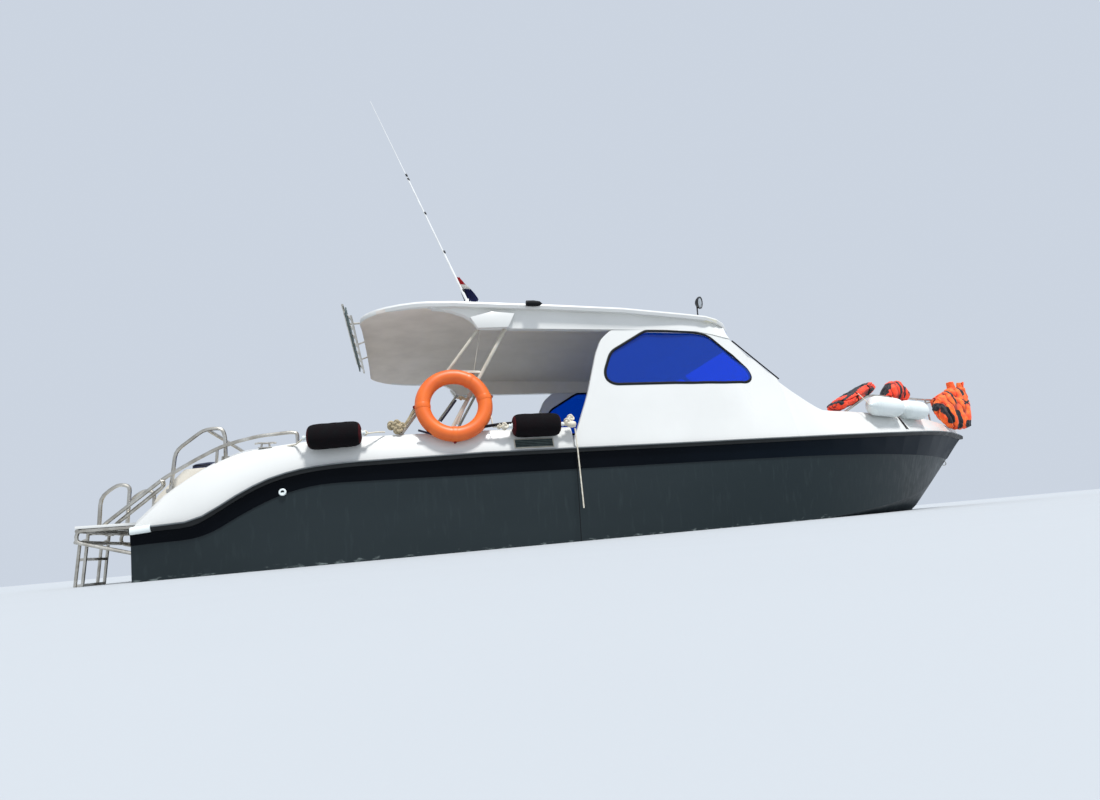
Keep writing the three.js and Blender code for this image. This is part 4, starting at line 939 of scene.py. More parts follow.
def spaced(corners: Sequence[Point], step: float) -> list[Vector]:
    """Fills a line with points about a step apart.

    Args:
        corners: The line's corners.
        step: The spacing, in metres.

    Returns:
        The points, from end to end.
    """
    points = [Vector(corners[0])]
    for a, b in zip(corners, corners[1:]):
        a, b = Vector(a), Vector(b)
        count = max(int((b - a).length / step), 1)
        points += [a.lerp(b, (k + 1) / count) for k in range(count)]
    return points


def ringed(outline: Sequence[Point], step: float) -> list[Pair]:
    """Fills a closed flat outline with points about a step apart, and none that nearly meet.

    Args:
        outline: The outline's corners, as pairs.
        step: The spacing, in metres.

    Returns:
        The points once round.
    """
    closest = 0.002
    line = spaced([*outline, outline[0]], step)[:-1]
    kept = [line[0]]
    for point in line[1:]:
        if (point - kept[-1]).length > closest:
            kept.append(point)
    return [(point[0], point[1]) for point in kept]


def girdle(made: Piece, place: Point, across: Point, reach: float = 9.0) -> tuple[list, list]:
    """The closed line round a piece where a plane cuts it.

    Args:
        made: The piece.
        place: A point of the plane, in metres.
        across: The plane's normal.
        reach: Points further than this from the place are left out.

    Returns:
        The line's points and their outward directions.
    """
    bm = bmesh.new()
    bm.from_mesh(made.data)
    cut = bmesh.ops.bisect_plane(
        bm, geom=bm.verts[:] + bm.edges[:] + bm.faces[:], plane_co=place, plane_no=across
    )["geom_cut"]
    points = [g.co.copy() for g in cut if isinstance(g, bmesh.types.BMVert)]
    bm.free()
    points = [p for p in points if (p - Vector(place)).length < reach]
    middle = sum(points, Vector()) / len(points)
    first = Vector(across).orthogonal().normalized()
    second = Vector(across).cross(first).normalized()
    bins = 36
    best: dict[int, Vector] = {}
    for p in points:
        from_middle = p - middle
        angle = math.atan2(from_middle.dot(second), from_middle.dot(first))
        key = int((angle + math.pi) / (2 * math.pi) * bins) % bins
        if key not in best or from_middle.length > (best[key] - middle).length:
            best[key] = p
    line = [best[key] for key in sorted(best)]
    count = len(line)
    smooth = [(line[i - 1] + line[i] * 2 + line[(i + 1) % count]) / 4 for i in range(count)]
    return smooth, [(p - middle).normalized() for p in smooth]


def baked(made: Piece) -> None:
    """Swaps a piece's mesh for the one that its modifiers give.

    Args:
        made: The piece. Its modifiers are removed.
    """
    graph = bpy.context.evaluated_depsgraph_get()
    mesh = bpy.data.meshes.new_from_object(made.evaluated_get(graph))
    made.modifiers.clear()
    made.data = mesh


def remeshed(made: Piece, voxel_mm: float) -> None:
    """Gives a piece an even mesh.

    Args:
        made: The piece.
        voxel_mm: The size of its faces.
    """
    even = made.modifiers.new("even", "REMESH")
    even.mode = "VOXEL"
    even.voxel_size = voxel_mm * MM
    even.use_smooth_shade = True
    baked(made)


def puffed(made: Piece, pressure: float, cap_mm: float, frames: int = 20) -> None:
    """Blows a pad up as cloth, with a cap on how far any point moves.

    Args:
        made: The pad, evenly meshed.
        pressure: The cloth's inner pressure.
        cap_mm: The furthest that a point may move.
        frames: Steps of the simulation.
    """
    start = [vert.co.copy() for vert in made.data.vertices]
    cloth = made.modifiers.new("cloth", "CLOTH")
    cloth.settings.use_pressure = True
    cloth.settings.uniform_pressure_force = pressure
    cloth.settings.effector_weights.gravity = 0.0
    cloth.settings.tension_stiffness = 8.0
    cloth.settings.shear_stiffness = 4.0
    cloth.point_cache.frame_end = frames
    scene = bpy.context.scene
    for frame in range(1, frames + 1):
        scene.frame_set(frame)
    baked(made)
    scene.frame_set(1)
    for vert, old in zip(made.data.vertices, start):
        move = vert.co - old
        if move.length > cap_mm * MM:
            vert.co = old + move.normalized() * cap_mm * MM


@dataclass
class Plain:
    """CAD nodes whose shapes stay, each with its finish and the width of its bevel in mm."""

    table: tuple[tuple[str, Paint, float], ...] = (
        ("hull", Paint.HULL, 0.0),
        ("sheer_band", Paint.BAND, 0.0),
        ("rub_rail", Paint.RAIL_RUBBER, 0.0),
        ("sole", Paint.LINER, 0.0),
        ("gunwale_port", Paint.GELCOAT, 14.0),
        ("gunwale_starboard", Paint.GELCOAT, 14.0),
        ("cabin_side_port", Paint.GELCOAT, 0.0),
        ("cabin_side_starboard", Paint.GELCOAT, 0.0),
        ("side_window_port", Paint.BLUE_GLASS, 0.0),
        ("side_window_starboard", Paint.BLUE_GLASS, 0.0),
        ("foredeck", Paint.GELCOAT, 0.0),
        ("locker_lid", Paint.GELCOAT, 6.0),
        ("windscreen_frame", Paint.GELCOAT, 0.0),
        ("windscreen_pane_port", Paint.SCREEN_GLASS, 0.0),
        ("windscreen_pane_starboard", Paint.SCREEN_GLASS, 0.0),
        ("stern_moulding", Paint.LINER, 12.0),
        ("platform_frame", Paint.STAINLESS, 0.0),
        ("platform_deck", Paint.GELCOAT, 3.0),
        ("boarding_ladder", Paint.STAINLESS, 0.0),
        ("stair_rail_starboard", Paint.STAINLESS, 0.0),
        ("stair_rail_port", Paint.STAINLESS, 0.0),
        ("stern_arch", Paint.STAINLESS, 0.0),
        ("strut_frame_starboard", Paint.STRUT, 0.0),
        ("strut_frame_port", Paint.STRUT, 0.0),
        ("bow_rail", Paint.STAINLESS, 0.0),
        ("bow_cleat", Paint.STAINLESS, 4.0),
        ("antenna_base", Paint.WHITE_TUBE, 3.0),
        ("antenna_whip", Paint.WHIP, 0.0),
        ("nav_light_starboard", Paint.RUBBER, 0.0),
        ("nav_light_port", Paint.RUBBER, 0.0),
        ("rod_rack", Paint.STAINLESS, 0.0),
        ("helm_console", Paint.LINER, 16.0),
        ("steering_wheel", Paint.BLACK_PLASTIC, 0.0),
        ("helm_seat", Paint.LINER, 16.0),
        ("bench_starboard", Paint.LINER, 14.0),
        ("bench_port", Paint.LINER, 14.0),
        ("engine_box", Paint.GELCOAT, 14.0),
        ("engine_block", Paint.ENGINE, 10.0),
        ("propeller", Paint.BRONZE, 0.0),
        ("shaft_bracket", Paint.BRONZE, 0.0),
        ("rudder", Paint.BRONZE, 3.0),
        ("rope_knot", Paint.ROPE, 0.0),
    )

    def build(self) -> None:
        """Dresses every node of the table."""
        for node, paint, bevel_mm in self.table:
            dressed(node, paint, bevel_mm)


@dataclass
class HangingRope:
    """The rope that hangs free from the forward fender's tie, down the boat's side."""

    radius_mm: float = 7.0
    route: tuple[Place, ...] = (
        (-1.398, -1.485, 1.062), (-1.396, -1.487, 1.040), (-1.394, -1.488, 0.960), (-1.392, -1.4874, 0.880),
        (-1.391, -1.4874, 0.850), (-1.390, -1.4874, 0.760), (-1.389, -1.4874, 0.660), (-1.388, -1.487, 0.560),
        (-1.387, -1.486, 0.460), (-1.386, -1.485, 0.380), (-1.386, -1.485, 0.300),
    )

    def build(self) -> None:
        made = object_of("hanging_rope_laid", swept(self.route, self.radius_mm, 10), Paint.ROPE)
        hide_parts("hanging_rope")
        riding(made, BOAT)


@dataclass
class Roof:
    """The hardtop with its headlining, and the plates that carry the struts' heads."""

    lining_half: float = 1.27
    lining_end: float = 0.45
    side_from: float = 1.0
    plate_y: float = 1.317
    plate_thick: float = 0.063
    plate_bevel_mm: float = 6.0
    plate_outline: tuple[Pair, ...] = (
        (-2.333, 2.242), (-2.116, 2.305), (-1.880, 2.291), (-1.954, 2.139), (-2.260, 2.126),
    )

    def build(self) -> None:
        """Makes the roof and its plates."""
        self.shell()
        for side in Side:
            outline = [(x, side.value * self.plate_y, z) for x, z in self.plate_outline]
            bm = plate(outline, (0, side.value * self.plate_thick, 0), self.plate_bevel_mm)
            trim(f"strut_plate_{side.name.lower()}", bm, Paint.GELCOAT)

    def shell(self) -> None:
        """Dresses the hardtop, and lines the faces under it and inside its side beams."""
        made = dressed("hardtop", Paint.GELCOAT)
        made.data.materials.append(Paint.LINING.material)
        for face in made.data.polygons:
            middle, normal = face.center, face.normal
            off_centre = abs(middle.y)
            under = normal.z < -0.3 and off_centre < self.lining_half and middle.x < self.lining_end
            inward = math.copysign(1.0, middle.y) * normal.y < -0.4 and off_centre > self.side_from
            if under or inward:
                face.material_index = 1


@dataclass
class Glazing:
    """Rubber round every pane, the screen's edge seals, and its wipers.

    Places on the screen are pairs: the distance from the middle line, and how far up the screen.
    """

    window: tuple[Pair, ...] = (
        (-0.963, 1.580), (-0.968, 1.666), (-0.873, 1.882), (-0.485, 2.104), (-0.430, 2.130), (0.150, 2.130),
        (0.330, 2.098), (0.440, 1.994), (0.767, 1.682), (0.774, 1.588), (0.700, 1.545), (-0.888, 1.534),
    )
    corner: float = 0.07
    grown: float = 0.008
    bead_mm: float = 14.0
    lip_mm: float = 3.0
    screen_foot: Pair = (1.176, 1.591)
    screen_head: Pair = (0.640, 2.062)
    pane: tuple[float, float, float, float] = (0.040, 1.100, 0.055, 0.6535)
    pane_corner: float = 0.03
    seal_y: float = 1.243
    seal_ups: tuple[float, ...] = (0.0, 0.2, 0.45, 0.70)
    seal_mm: float = 11.0
    wiper_hub: Pair = (0.25, 0.02)
    wiper_arm: tuple[Place, ...] = ((0.25, 0.02, 0.03), (0.42, 0.10, 0.04), (0.62, 0.16, 0.028))
    wiper_blade: tuple[Place, ...] = ((0.40, 0.10, 0.014), (0.86, 0.21, 0.014))

    def build(self) -> None:
        """Makes the rubber trim of both sides."""
        for side in Side:
            self.window_gasket(side, True)
            self.window_gasket(side, False)
            self.pane_gasket(side)
            self.edge_seal(side)
            self.wiper(side)

    def window_gasket(self, side: Side, outer: bool) -> None:
        """Lays the gasket round a side window, with a thin grey lip inside it.

        Args:
            side: The boat's side.
            outer: Whether it is laid on the outer face of the cabin side, or on the inner one.
        """
        line = ringed(rounded(self.window, self.corner), 0.03)
        name = side.name.lower()
        skin = Skin(f"cabin_side_{name}")
        far = side.value * (2.0 if outer else 0.0)
        way = (0, -side.value if outer else side.value, 0)
        face = "outer" if outer else "inner"
        lip_grown = self.grown + self.bead_mm * MM - 0.001
        for kind, paint, grow, bead, lift in (
            ("gasket", Paint.RUBBER, self.grown, self.bead_mm, 2.0),
            ("lip", Paint.GREY_PLASTIC, lip_grown, self.lip_mm, 1.0),
        ):
            starts = [(x, far, z) for x, z in self.offset(line, grow)]
            route, out = skin.laid(starts, way, lift)
            trim(f"window_{kind}_{face}_{name}", swept(route, bead, 10, True, out, 0.4), paint, 60)

    def offset(self, line: Sequence[Point], grow: float) -> list[Pair]:
        """Moves a closed flat line outwards.

        Args:
            line: The line's points, as pairs.
            grow: How far it moves, in metres.

        Returns:
            The moved points.
        """
        made = []
        for i, point in enumerate(line):
            along = Vector(line[(i + 1) % len(line)]) - Vector(line[i - 1])
            along.normalize()
            made.append((point[0] - along.y * grow, point[1] + along.x * grow))
        return made

    def slope(self) -> tuple[Vector, Vector]:
        """The lie of the screen.

        Returns:
            Its upward direction and its outward normal.
        """
        foot, head = self.screen_foot, self.screen_head
        up = Vector((head[0] - foot[0], 0, head[1] - foot[1])).normalized()
        return up, Vector((up.z, 0, -up.x))

    def on_screen(self, y: float, up: float, lift: float = 0.0) -> Vector:
        """A place on the screen's outer face, or lifted off it.

        Args:
            y: Its distance to port.
            up: How far up the screen it is.
            lift: How far it stands off the screen.

        Returns:
            The place.
        """
        way, normal = self.slope()
        return Vector((self.screen_foot[0], y, self.screen_foot[1])) + way * up + normal * lift

    def pane_gasket(self, side: Side) -> None:
        """Lays the gasket round a pane of the screen.

        Args:
            side: The pane's side.
        """
        inner, outer, low, high = self.pane
        corners = [(inner, low), (inner, high), (outer, high), (outer, low)]
        line = self.offset(ringed(rounded(corners, self.pane_corner), 0.05), self.grown)
        normal = self.slope()[1]
        starts = [self.on_screen(side.value * y, up, 0.3) for y, up in line]
        route, out = Skin("windscreen_frame").laid(starts, -normal, 2.0)
        bm = swept(route, self.bead_mm, 10, True, out, 0.4)
        trim(f"pane_gasket_{side.name.lower()}", bm, Paint.RUBBER, 60)

    def edge_seal(self, side: Side) -> None:
        """Lays the black sealant down the screen's outer edge.

        Args:
            side: The edge's side.
        """
        route = [self.on_screen(side.value * self.seal_y, up, 0.003) for up in self.seal_ups]
        bm = swept(route, self.seal_mm, 8, out=[self.slope()[1]] * len(route), thin=0.5)
        trim(f"screen_seal_{side.name.lower()}", bm, Paint.RUBBER, 60)

    def wiper(self, side: Side) -> None:
        """Sets a wiper at rest along the screen's foot.

        Args:
            side: The wiper's side.
        """
        normal = self.slope()[1]
        hub, up = self.wiper_hub
        cap = [(0, -4), (15, -4), (15, 20), (9, 34), (0, 36)]
        arm, blade = (
            [self.on_screen(side.value * y, height, lift) for y, height, lift in line]
            for line in (self.wiper_arm, self.wiper_blade)
        )
        bm = joined(
            turned(cap, self.on_screen(side.value * hub, up), normal, 20),
            swept(arm, 4.0, 8),
            swept(blade, 7.0, 8, out=[normal, normal], thin=1.6),
        )
        trim(f"wiper_{side.value}".replace("-", "s"), bm, Paint.BLACK_PLASTIC)


@dataclass
class RubbingStrake:
    """The grey bead along the strake, a painted highlight on its top edge, and its white end caps."""

    from_x: float = -4.93
    to_x: float = 5.04
    step: float = 0.12
    bead_mm: float = 7.0
    cap_x: float = -5.07
    cap_in: float = 0.012
    cap_down: float = 0.014
    cap_mm: float = 30.0

    def build(self) -> None:
        """Makes both beads and caps."""
        count = int((self.to_x - self.from_x) / self.step)
        stations = [self.from_x + (self.to_x - self.from_x) * i / count for i in range(count + 1)]
        rows = [self.edge(x) for x in stations]
        ends = (self.edge(self.cap_x), rows[0])
        for side in Side:
            name = side.name.lower()
            route = [(x, side.value * (y + 0.001), z) for x, y, z in rows]
            # The grey bead is a painted highlight along the strake's top edge.
            trim(f"strake_bead_{name}", swept(route, self.bead_mm, 8), Paint.RAIL_HIGHLIGHT, 60)
            line = spaced([(x, side.value * (y - self.cap_in), z - self.cap_down) for x, y, z in ends], 0.03)
            cap = swept(line, self.cap_mm, 14, out=[(0, side.value, 0)] * len(line), thin=0.55)
            trim(f"strake_cap_{name}", cap, Paint.FENDER, 60)

    def edge(self, x: float) -> Place:
        """The upper edge of the strake's outer face.

        Args:
            x: The station.

        Returns:
            The place on the port side.
        """
        points = [p for p in section("rub_rail", x) if p.y > 0]
        widest = max(p.y for p in points)
        face = [p for p in points if p.y > widest - 0.004]
        return x, widest, max(p.z for p in face)


@dataclass
class SideFittings:
    """Vent, skin fitting, the hanging rope's painted shadow, cleats, coamings and straps on the boat's sides,
    and the towing eye.
    """

    beyond: float = 2.0
    above: float = 3.0
    vent: tuple[float, float, float, float] = (-1.985, -1.610, 0.900, 0.983)
    slats: int = 5
    outlet: Pair = (-3.988, 0.622)
    # Where the hanging rope's painted shadow runs down the topside.
    rope_shadow_x: float = -1.392
    cleat_place: Pair = (-4.15, 1.33)
    cleat_horn: tuple[Pair, ...] = (
        (-0.085, 0.040), (-0.05, 0.044), (0.0, 0.040), (0.05, 0.044), (0.085, 0.040),
    )
    coaming_y: float = 1.115
    coaming_thick: float = 0.034
    coaming_outline: tuple[Pair, ...] = (
        (-5.060, 0.560), (-5.003, 0.686), (-4.899, 0.807), (-4.814, 0.897), (-4.640, 0.905), (-4.560, 0.880),
        (-4.700, 0.760), (-4.900, 0.620), (-5.040, 0.520),
    )
    joint_x: float = 1.153
    eye_from: Place = (7.0, 0.0, 0.62)
    eye_arch: tuple[Pair, ...] = (
        (-0.02, 0.03), (0.02, 0.03), (0.038, 0.018), (0.044, 0.0), (0.038, -0.018), (0.02, -0.03),
        (-0.02, -0.03),
    )

    def build(self) -> None:
        """Makes the fittings of both sides."""
        for side in Side:
            self.louvre(side)
            self.skin_fitting(side)
            self.rope_shadow(side)
            self.cleat(side)
            self.coaming(side)
            self.filler(side)
        self.deck_strap()
        self.bow_eye()

    def louvre(self, side: Side) -> None:
        """Sets the engine's air intake in the gunwale, with a black sheet of painted shade behind its slats.

        Args:
            side: The boat's side.
        """
        aft, fore, low, high = self.vent
        name = side.name.lower()
        skin = Skin(f"gunwale_{name}")
        way = (0, -side.value, 0)
        far = side.value * self.beyond
        corners = [(aft, far, low), (aft, far, high), (fore, far, high), (fore, far, low)]
        frame, out = skin.laid(spaced(corners + corners[:1], 0.03)[:-1], way, 2.0)
        trim(f"vent_frame_{name}", swept(frame, 7.0, 8, True, out, 0.7), Paint.STRUT, 60)
        # The black sheet behind the slats is painted shade: it stands for the dark hollow behind the louvre.
        back, _ = skin.laid(corners, way, 1.0)
        trim(f"vent_back_{name}", plate(back, (0, side.value * 0.003, 0), 0.0), Paint.RUBBER)
        slats = []
        for i in range(self.slats):
            z = low + (high - low) * (i + 0.6) / (self.slats + 0.2)
            starts = [(x, far, z) for x in (aft + 0.008, (aft + fore) / 2, fore - 0.008)]
            route, _ = skin.laid(starts, way, 6.0)
            tip = [Vector((0, side.value * 0.6, -0.8))] * len(route)
            slats.append(swept(route, 8.0, 8, out=tip, thin=0.2))
        trim(f"vent_slats_{name}", joined(*slats), Paint.GREY_PLASTIC, 60)

    def skin_fitting(self, side: Side) -> None:
        """Sets the bilge outlet's flange in the topside.

        Args:
            side: The boat's side.
        """
        x, z = self.outlet
        found = Skin("hull", "sheer_band").hit((x, side.value * self.beyond, z), (0, -side.value, 0))
        if found:
            profile = [(0, -40), (30, -40), (30, 8), (26, 12), (17, 12), (15, 9), (15, 0), (0, 0)]
            bm = turned(profile, found[0], (0, side.value, 0), 28)
            trim(f"skin_fitting_{side.name.lower()}", bm, Paint.FENDER)

    def rope_shadow(self, side: Side) -> None:
        """Draws a dark line of painted shade down the topside, where the hanging rope's shadow falls.

        Args:
            side: The boat's side.
        """
        starts = [(self.rope_shadow_x, side.value * self.beyond, 0.88 - 0.04 * i) for i in range(23)]
        route, out = Skin("hull", "sheer_band").laid(starts, (0, -side.value, 0), 0.2)
        trim(f"topside_seam_{side.name.lower()}", swept(route, 4.0, 6, out=out, thin=0.3), Paint.RUBBER, 60)

    def cleat(self, side: Side) -> None:
        """Sets a horned cleat on the gunwale.

        Args:
            side: The boat's side.
        """
        x, y = self.cleat_place
        name = side.name.lower()
        found = Skin(f"gunwale_{name}").hit((x, side.value * y, self.above), (0, 0, -1))
        if not found:
            return
        place = found[0]
        horn = [place + Vector((dx, 0, dz)) for dx, dz in self.cleat_horn]
        feet = [
            swept([place + Vector((dx, 0, -0.004)), place + Vector((dx * 0.8, 0, 0.04))], 8.0, 10)
            for dx in (-0.035, 0.035)
        ]
        base = rounded_box(place + Vector((-0.055, -0.018, -0.004)), place + Vector((0.055, 0.018, 0.006)), 2.5)
        trim(f"cleat_{name}", joined(swept(horn, 8.0, 12), *feet, base), Paint.STAINLESS)

    def coaming(self, side: Side) -> None:
        """Stands the cream coaming of the stern seat inside the gunwale's fall.

        Args:
            side: The boat's side.
        """
        outline = [(x, side.value * self.coaming_y, z) for x, z in self.coaming_outline]
        bm = plate(outline, (0, side.value * self.coaming_thick, 0), 8.0)
        trim(f"coaming_{side.name.lower()}", bm, Paint.LINER)

    def filler(self, side: Side) -> None:
        """Fills the joint between cabin side and foredeck with gelcoat.

        Args:
            side: The boat's side.
        """
        starts = [(self.joint_x, side.value * self.beyond, 0.90 + 0.05 * i) for i in range(15)]
        route, out = Skin("foredeck").laid(starts, (0, -side.value, 0), -0.3)
        trim(f"joint_filler_{side.name.lower()}", swept(route, 7.0, 8, out=out, thin=0.15), Paint.GELCOAT, 80)

    def deck_strap(self) -> None:
        """Lays the fenders' black lashing over the foredeck's edge."""
        deck = Skin("foredeck")
        starts = [(2.975 + 0.006 * i, -0.90 - 0.033 * i, self.above) for i in range(6)]
        top, out_top = deck.laid(starts, (0, 0, -1), 3.0)
        sides = [(3.012 + 0.008 * i, -3.0, 1.135 - 0.04 * i) for i in range(5)]
        down, out_down = deck.laid(sides, (0, 1, 0), 3.0)
        bm = swept(top + down, 11.0, 8, out=out_top + out_down, thin=0.3)
        trim("fender_strap", bm, Paint.WEBBING, 60)

    def bow_eye(self) -> None:
        """Sets the towing eye in the stem."""
        found = Skin("hull", "sheer_band").hit(self.eye_from, (-1, 0, 0))
        if found:
            arch = [found[0] + Vector((dx, 0, dz)) for dx, dz in self.eye_arch]
            trim("bow_eye", swept(arch, 6.0, 10), Paint.STAINLESS)


def knot(place: Point, size_mm: float) -> Shape:
    """A tied lump of rope: a line wound on itself about a place.

    Args:
        place: Its middle, in metres.
        size_mm: Its width.

    Returns:
        The lump.
    """
    route = []
    steps = 72
    for i in range(steps):
        t = 2 * math.pi * i / steps
        reach = size_mm * MM * (0.48 + 0.22 * math.cos(3.0 * t))
        wound = (reach * math.cos(2 * t), 0.35 * size_mm * MM * math.sin(3 * t), reach * math.sin(2 * t))
        route.append(Vector(place) + Vector(wound))
    return swept(route, size_mm * 0.30, 10, closed=True)


def ropework(
    lines: Sequence[Sequence[Point]], radius_mm: float, step: float, knots: Sequence[tuple[Point, float]] = ()
) -> Shape:
    """Tied ropes and their knots as one shape.

    Args:
        lines: The ropes' routes, in metres.
        radius_mm: Half a rope's thickness.
        step: Spacing of the points along a rope.
        knots: Place and size in mm of each knot.

    Returns:
        The shape.
    """
    ropes = (swept(spaced(line, step), radius_mm, 8) for line in lines)
    return joined(*ropes, *(knot(place, size_mm) for place, size_mm in knots))


def ends_of(node: str) -> tuple[Vector, Vector]:
    """The middles of a long node's ends.

    Args:
        node: The node's name.

    Returns:
        The aft end's middle and the forward end's.
    """
    near = 0.006
    bm = copied(node)
    places = [vert.co.copy() for vert in bm.verts]
    bm.free()
    low, high = min(p.x for p in places), max(p.x for p in places)
    aft = [p for p in places if p.x < low + near]
    fore = [p for p in places if p.x > high - near]
    return sum(aft, Vector()) / len(aft), sum(fore, Vector()) / len(fore)


@dataclass
class LifeRing:
    """The ring on the starboard struts, with its lashings and the ropes beside it."""

    centre: Place = (-2.531, -1.4185, 1.337)
    tilt_deg: float = 8.1
    mean_mm: float = 290.0
    tube_mm: float = 70.0
    weld_mm: float = 1.6
    bands_deg: tuple[float, ...] = (58.0, 12.0, 182.0, 268.0)
    ropes: tuple[tuple[Place, ...], ...] = (
        ((-2.872, -1.375, 1.319), (-2.915, -1.378, 1.262), (-2.953, -1.38, 1.200), (-3.030, -1.37, 1.120)),
        ((-2.885, -1.365, 1.330), (-2.935, -1.368, 1.255), (-2.975, -1.37, 1.190), (-3.060, -1.36, 1.125)),
        ((-2.494, -1.33, 1.427), (-2.465, -1.345, 1.418), (-2.436, -1.33, 1.432), (-2.390, -1.33, 1.400)),
        ((-2.480, -1.335, 1.445), (-2.430, -1.34, 1.410), (-2.385, -1.33, 1.425)),
    )
    knots: tuple[tuple[Place, float], ...] = (
        ((-3.100, -1.350, 1.175), 46.0), ((-3.045, -1.365, 1.135), 50.0), ((-3.050, -1.360, 1.190), 40.0),
        ((-3.000, -1.370, 1.165), 34.0), ((-2.455, -1.335, 1.425), 24.0), ((-2.885, -1.37, 1.330), 22.0),
    )
    stays: tuple[tuple[Place, ...], ...] = (
        ((-2.885, -1.352, 1.345), (-3.020, -1.345, 1.105)),
        ((-2.503, -1.318, 1.410), (-2.580, -1.318, 1.305), (-2.655, -1.318, 1.206)),
        ((-2.868, -1.455, 1.101), (-2.763, -1.458, 1.066), (-2.668, -1.46, 1.040)),
    )
    strap: tuple[Place, ...] = (
        (-2.275, -1.465, 1.110), (-2.20, -1.475, 1.118), (-2.10, -1.478, 1.128), (-1.99, -1.470, 1.135),
    )
    bars: tuple[tuple[Place, Place, float, int], ...] = (
        ((-2.440, -1.292, 1.705), (-2.255, -1.292, 1.703), 9.0, 12),
        ((-2.376, -1.30, 1.466), (-2.498, -1.30, 1.178), 13.0, 12),
        ((-2.227, -1.289, 2.140), (-2.315, -1.290, 1.705), 3.0, 6),
    )

    def build(self) -> None:
        """Makes ring, lashings and ropes."""
        self.shell()
        self.lashings()
        self.tied()

    def axis(self) -> Vector:
        """The ring's axis, outboard."""
        tilt = math.radians(self.tilt_deg)
        return Vector((0, -math.cos(tilt), math.sin(tilt)))

    def shell(self) -> None:
        """Spins the shell, with the low weld line round its rim."""
        steps = 36
        profile = []
        for i in range(steps + 1):
            angle = 2 * math.pi * i / steps
            radius = self.tube_mm - 0.5 + (self.weld_mm if i in (0, steps) else 0.0)
            profile.append((self.mean_mm + radius * math.cos(angle), radius * math.sin(angle)))
        made = object_of("life_ring_shell", turned(profile, self.centre, self.axis(), 96), Paint.RING)
        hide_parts("life_ring")
        riding(made, BOAT)

    def place(self, degrees: float) -> Vector:
        """A place on the tube's middle line.

        Args:
            degrees: Its angle from forward, turning up.

        Returns:
            The place.
        """
        angle, tilt = math.radians(degrees), math.radians(self.tilt_deg)
        up = Vector((0, math.sin(tilt), math.cos(tilt)))
        flat = Vector((1, 0, 0)) * math.cos(angle) + up * math.sin(angle)
        return Vector(self.centre) + flat * self.mean_mm * MM

    def lashings(self) -> None:
        """Moulds a band at each grab point, with turns of dark tape and a knot on its outer half."""
        bands, tapes = [], []
        for degrees in self.bands_deg:
            middle = self.place(degrees)
            flat = (middle - Vector(self.centre)).normalized()
            side = flat.cross(self.axis()).normalized()
            bands.append(self.turn_round(middle, flat, range(24), 26.0, 0.12))
            for shift in (-0.010, 0.0, 0.010):
                tapes.append(self.turn_round(middle + side * shift, flat, range(-3, 4), 5.0, 0.5))
            tapes.append(knot(middle + flat * (self.tube_mm + 6) * MM, 15.0))
        trim("ring_bands", joined(*bands), Paint.RING, 60)
        trim("ring_lashings", joined(*tapes), Paint.LASHING, 60)

    def turn_round(self, middle: Vector, flat: Vector, steps: range, half_mm: float, thin: float) -> Shape:
        """A strap round the tube.

        Args:
            middle: The place on the tube's middle line.
            flat: The direction away from the ring's centre.
            steps: Where it runs, in steps of 15 degrees from the tube's outermost point. It closes after 24.
            half_mm: Half its width.
            thin: Its thickness as a share of its width.

        Returns:
            The strap.
        """
        out = []
        for i in steps:
            angle = math.radians(15 * i)
            out.append(flat * math.cos(angle) + self.axis() * math.sin(angle))
        route = [middle + way * (self.tube_mm + 0.8) * MM for way in out]
        return swept(route, half_mm, 10, closed=len(steps) == 24, out=out, thin=thin)

    def tied(self) -> None:
        """Lays the tied ropes, stays and crossbar that show round the ring."""
        trim("ring_ropes", ropework(self.ropes, 8.0, 0.02, self.knots), Paint.OLD_ROPE, 70)
        trim("ring_stays", joined(*(swept(line, 10.0, 8) for line in self.stays)), Paint.NAVY_CLOTH, 60)
        trim("ring_strap", ropework([self.strap], 14.0, 0.05), Paint.WEBBING, 60)
        bars = (swept([start, end], radius_mm, sides) for start, end, radius_mm, sides in self.bars)
        trim("strut_stays", joined(*bars), Paint.STRUT, 60)


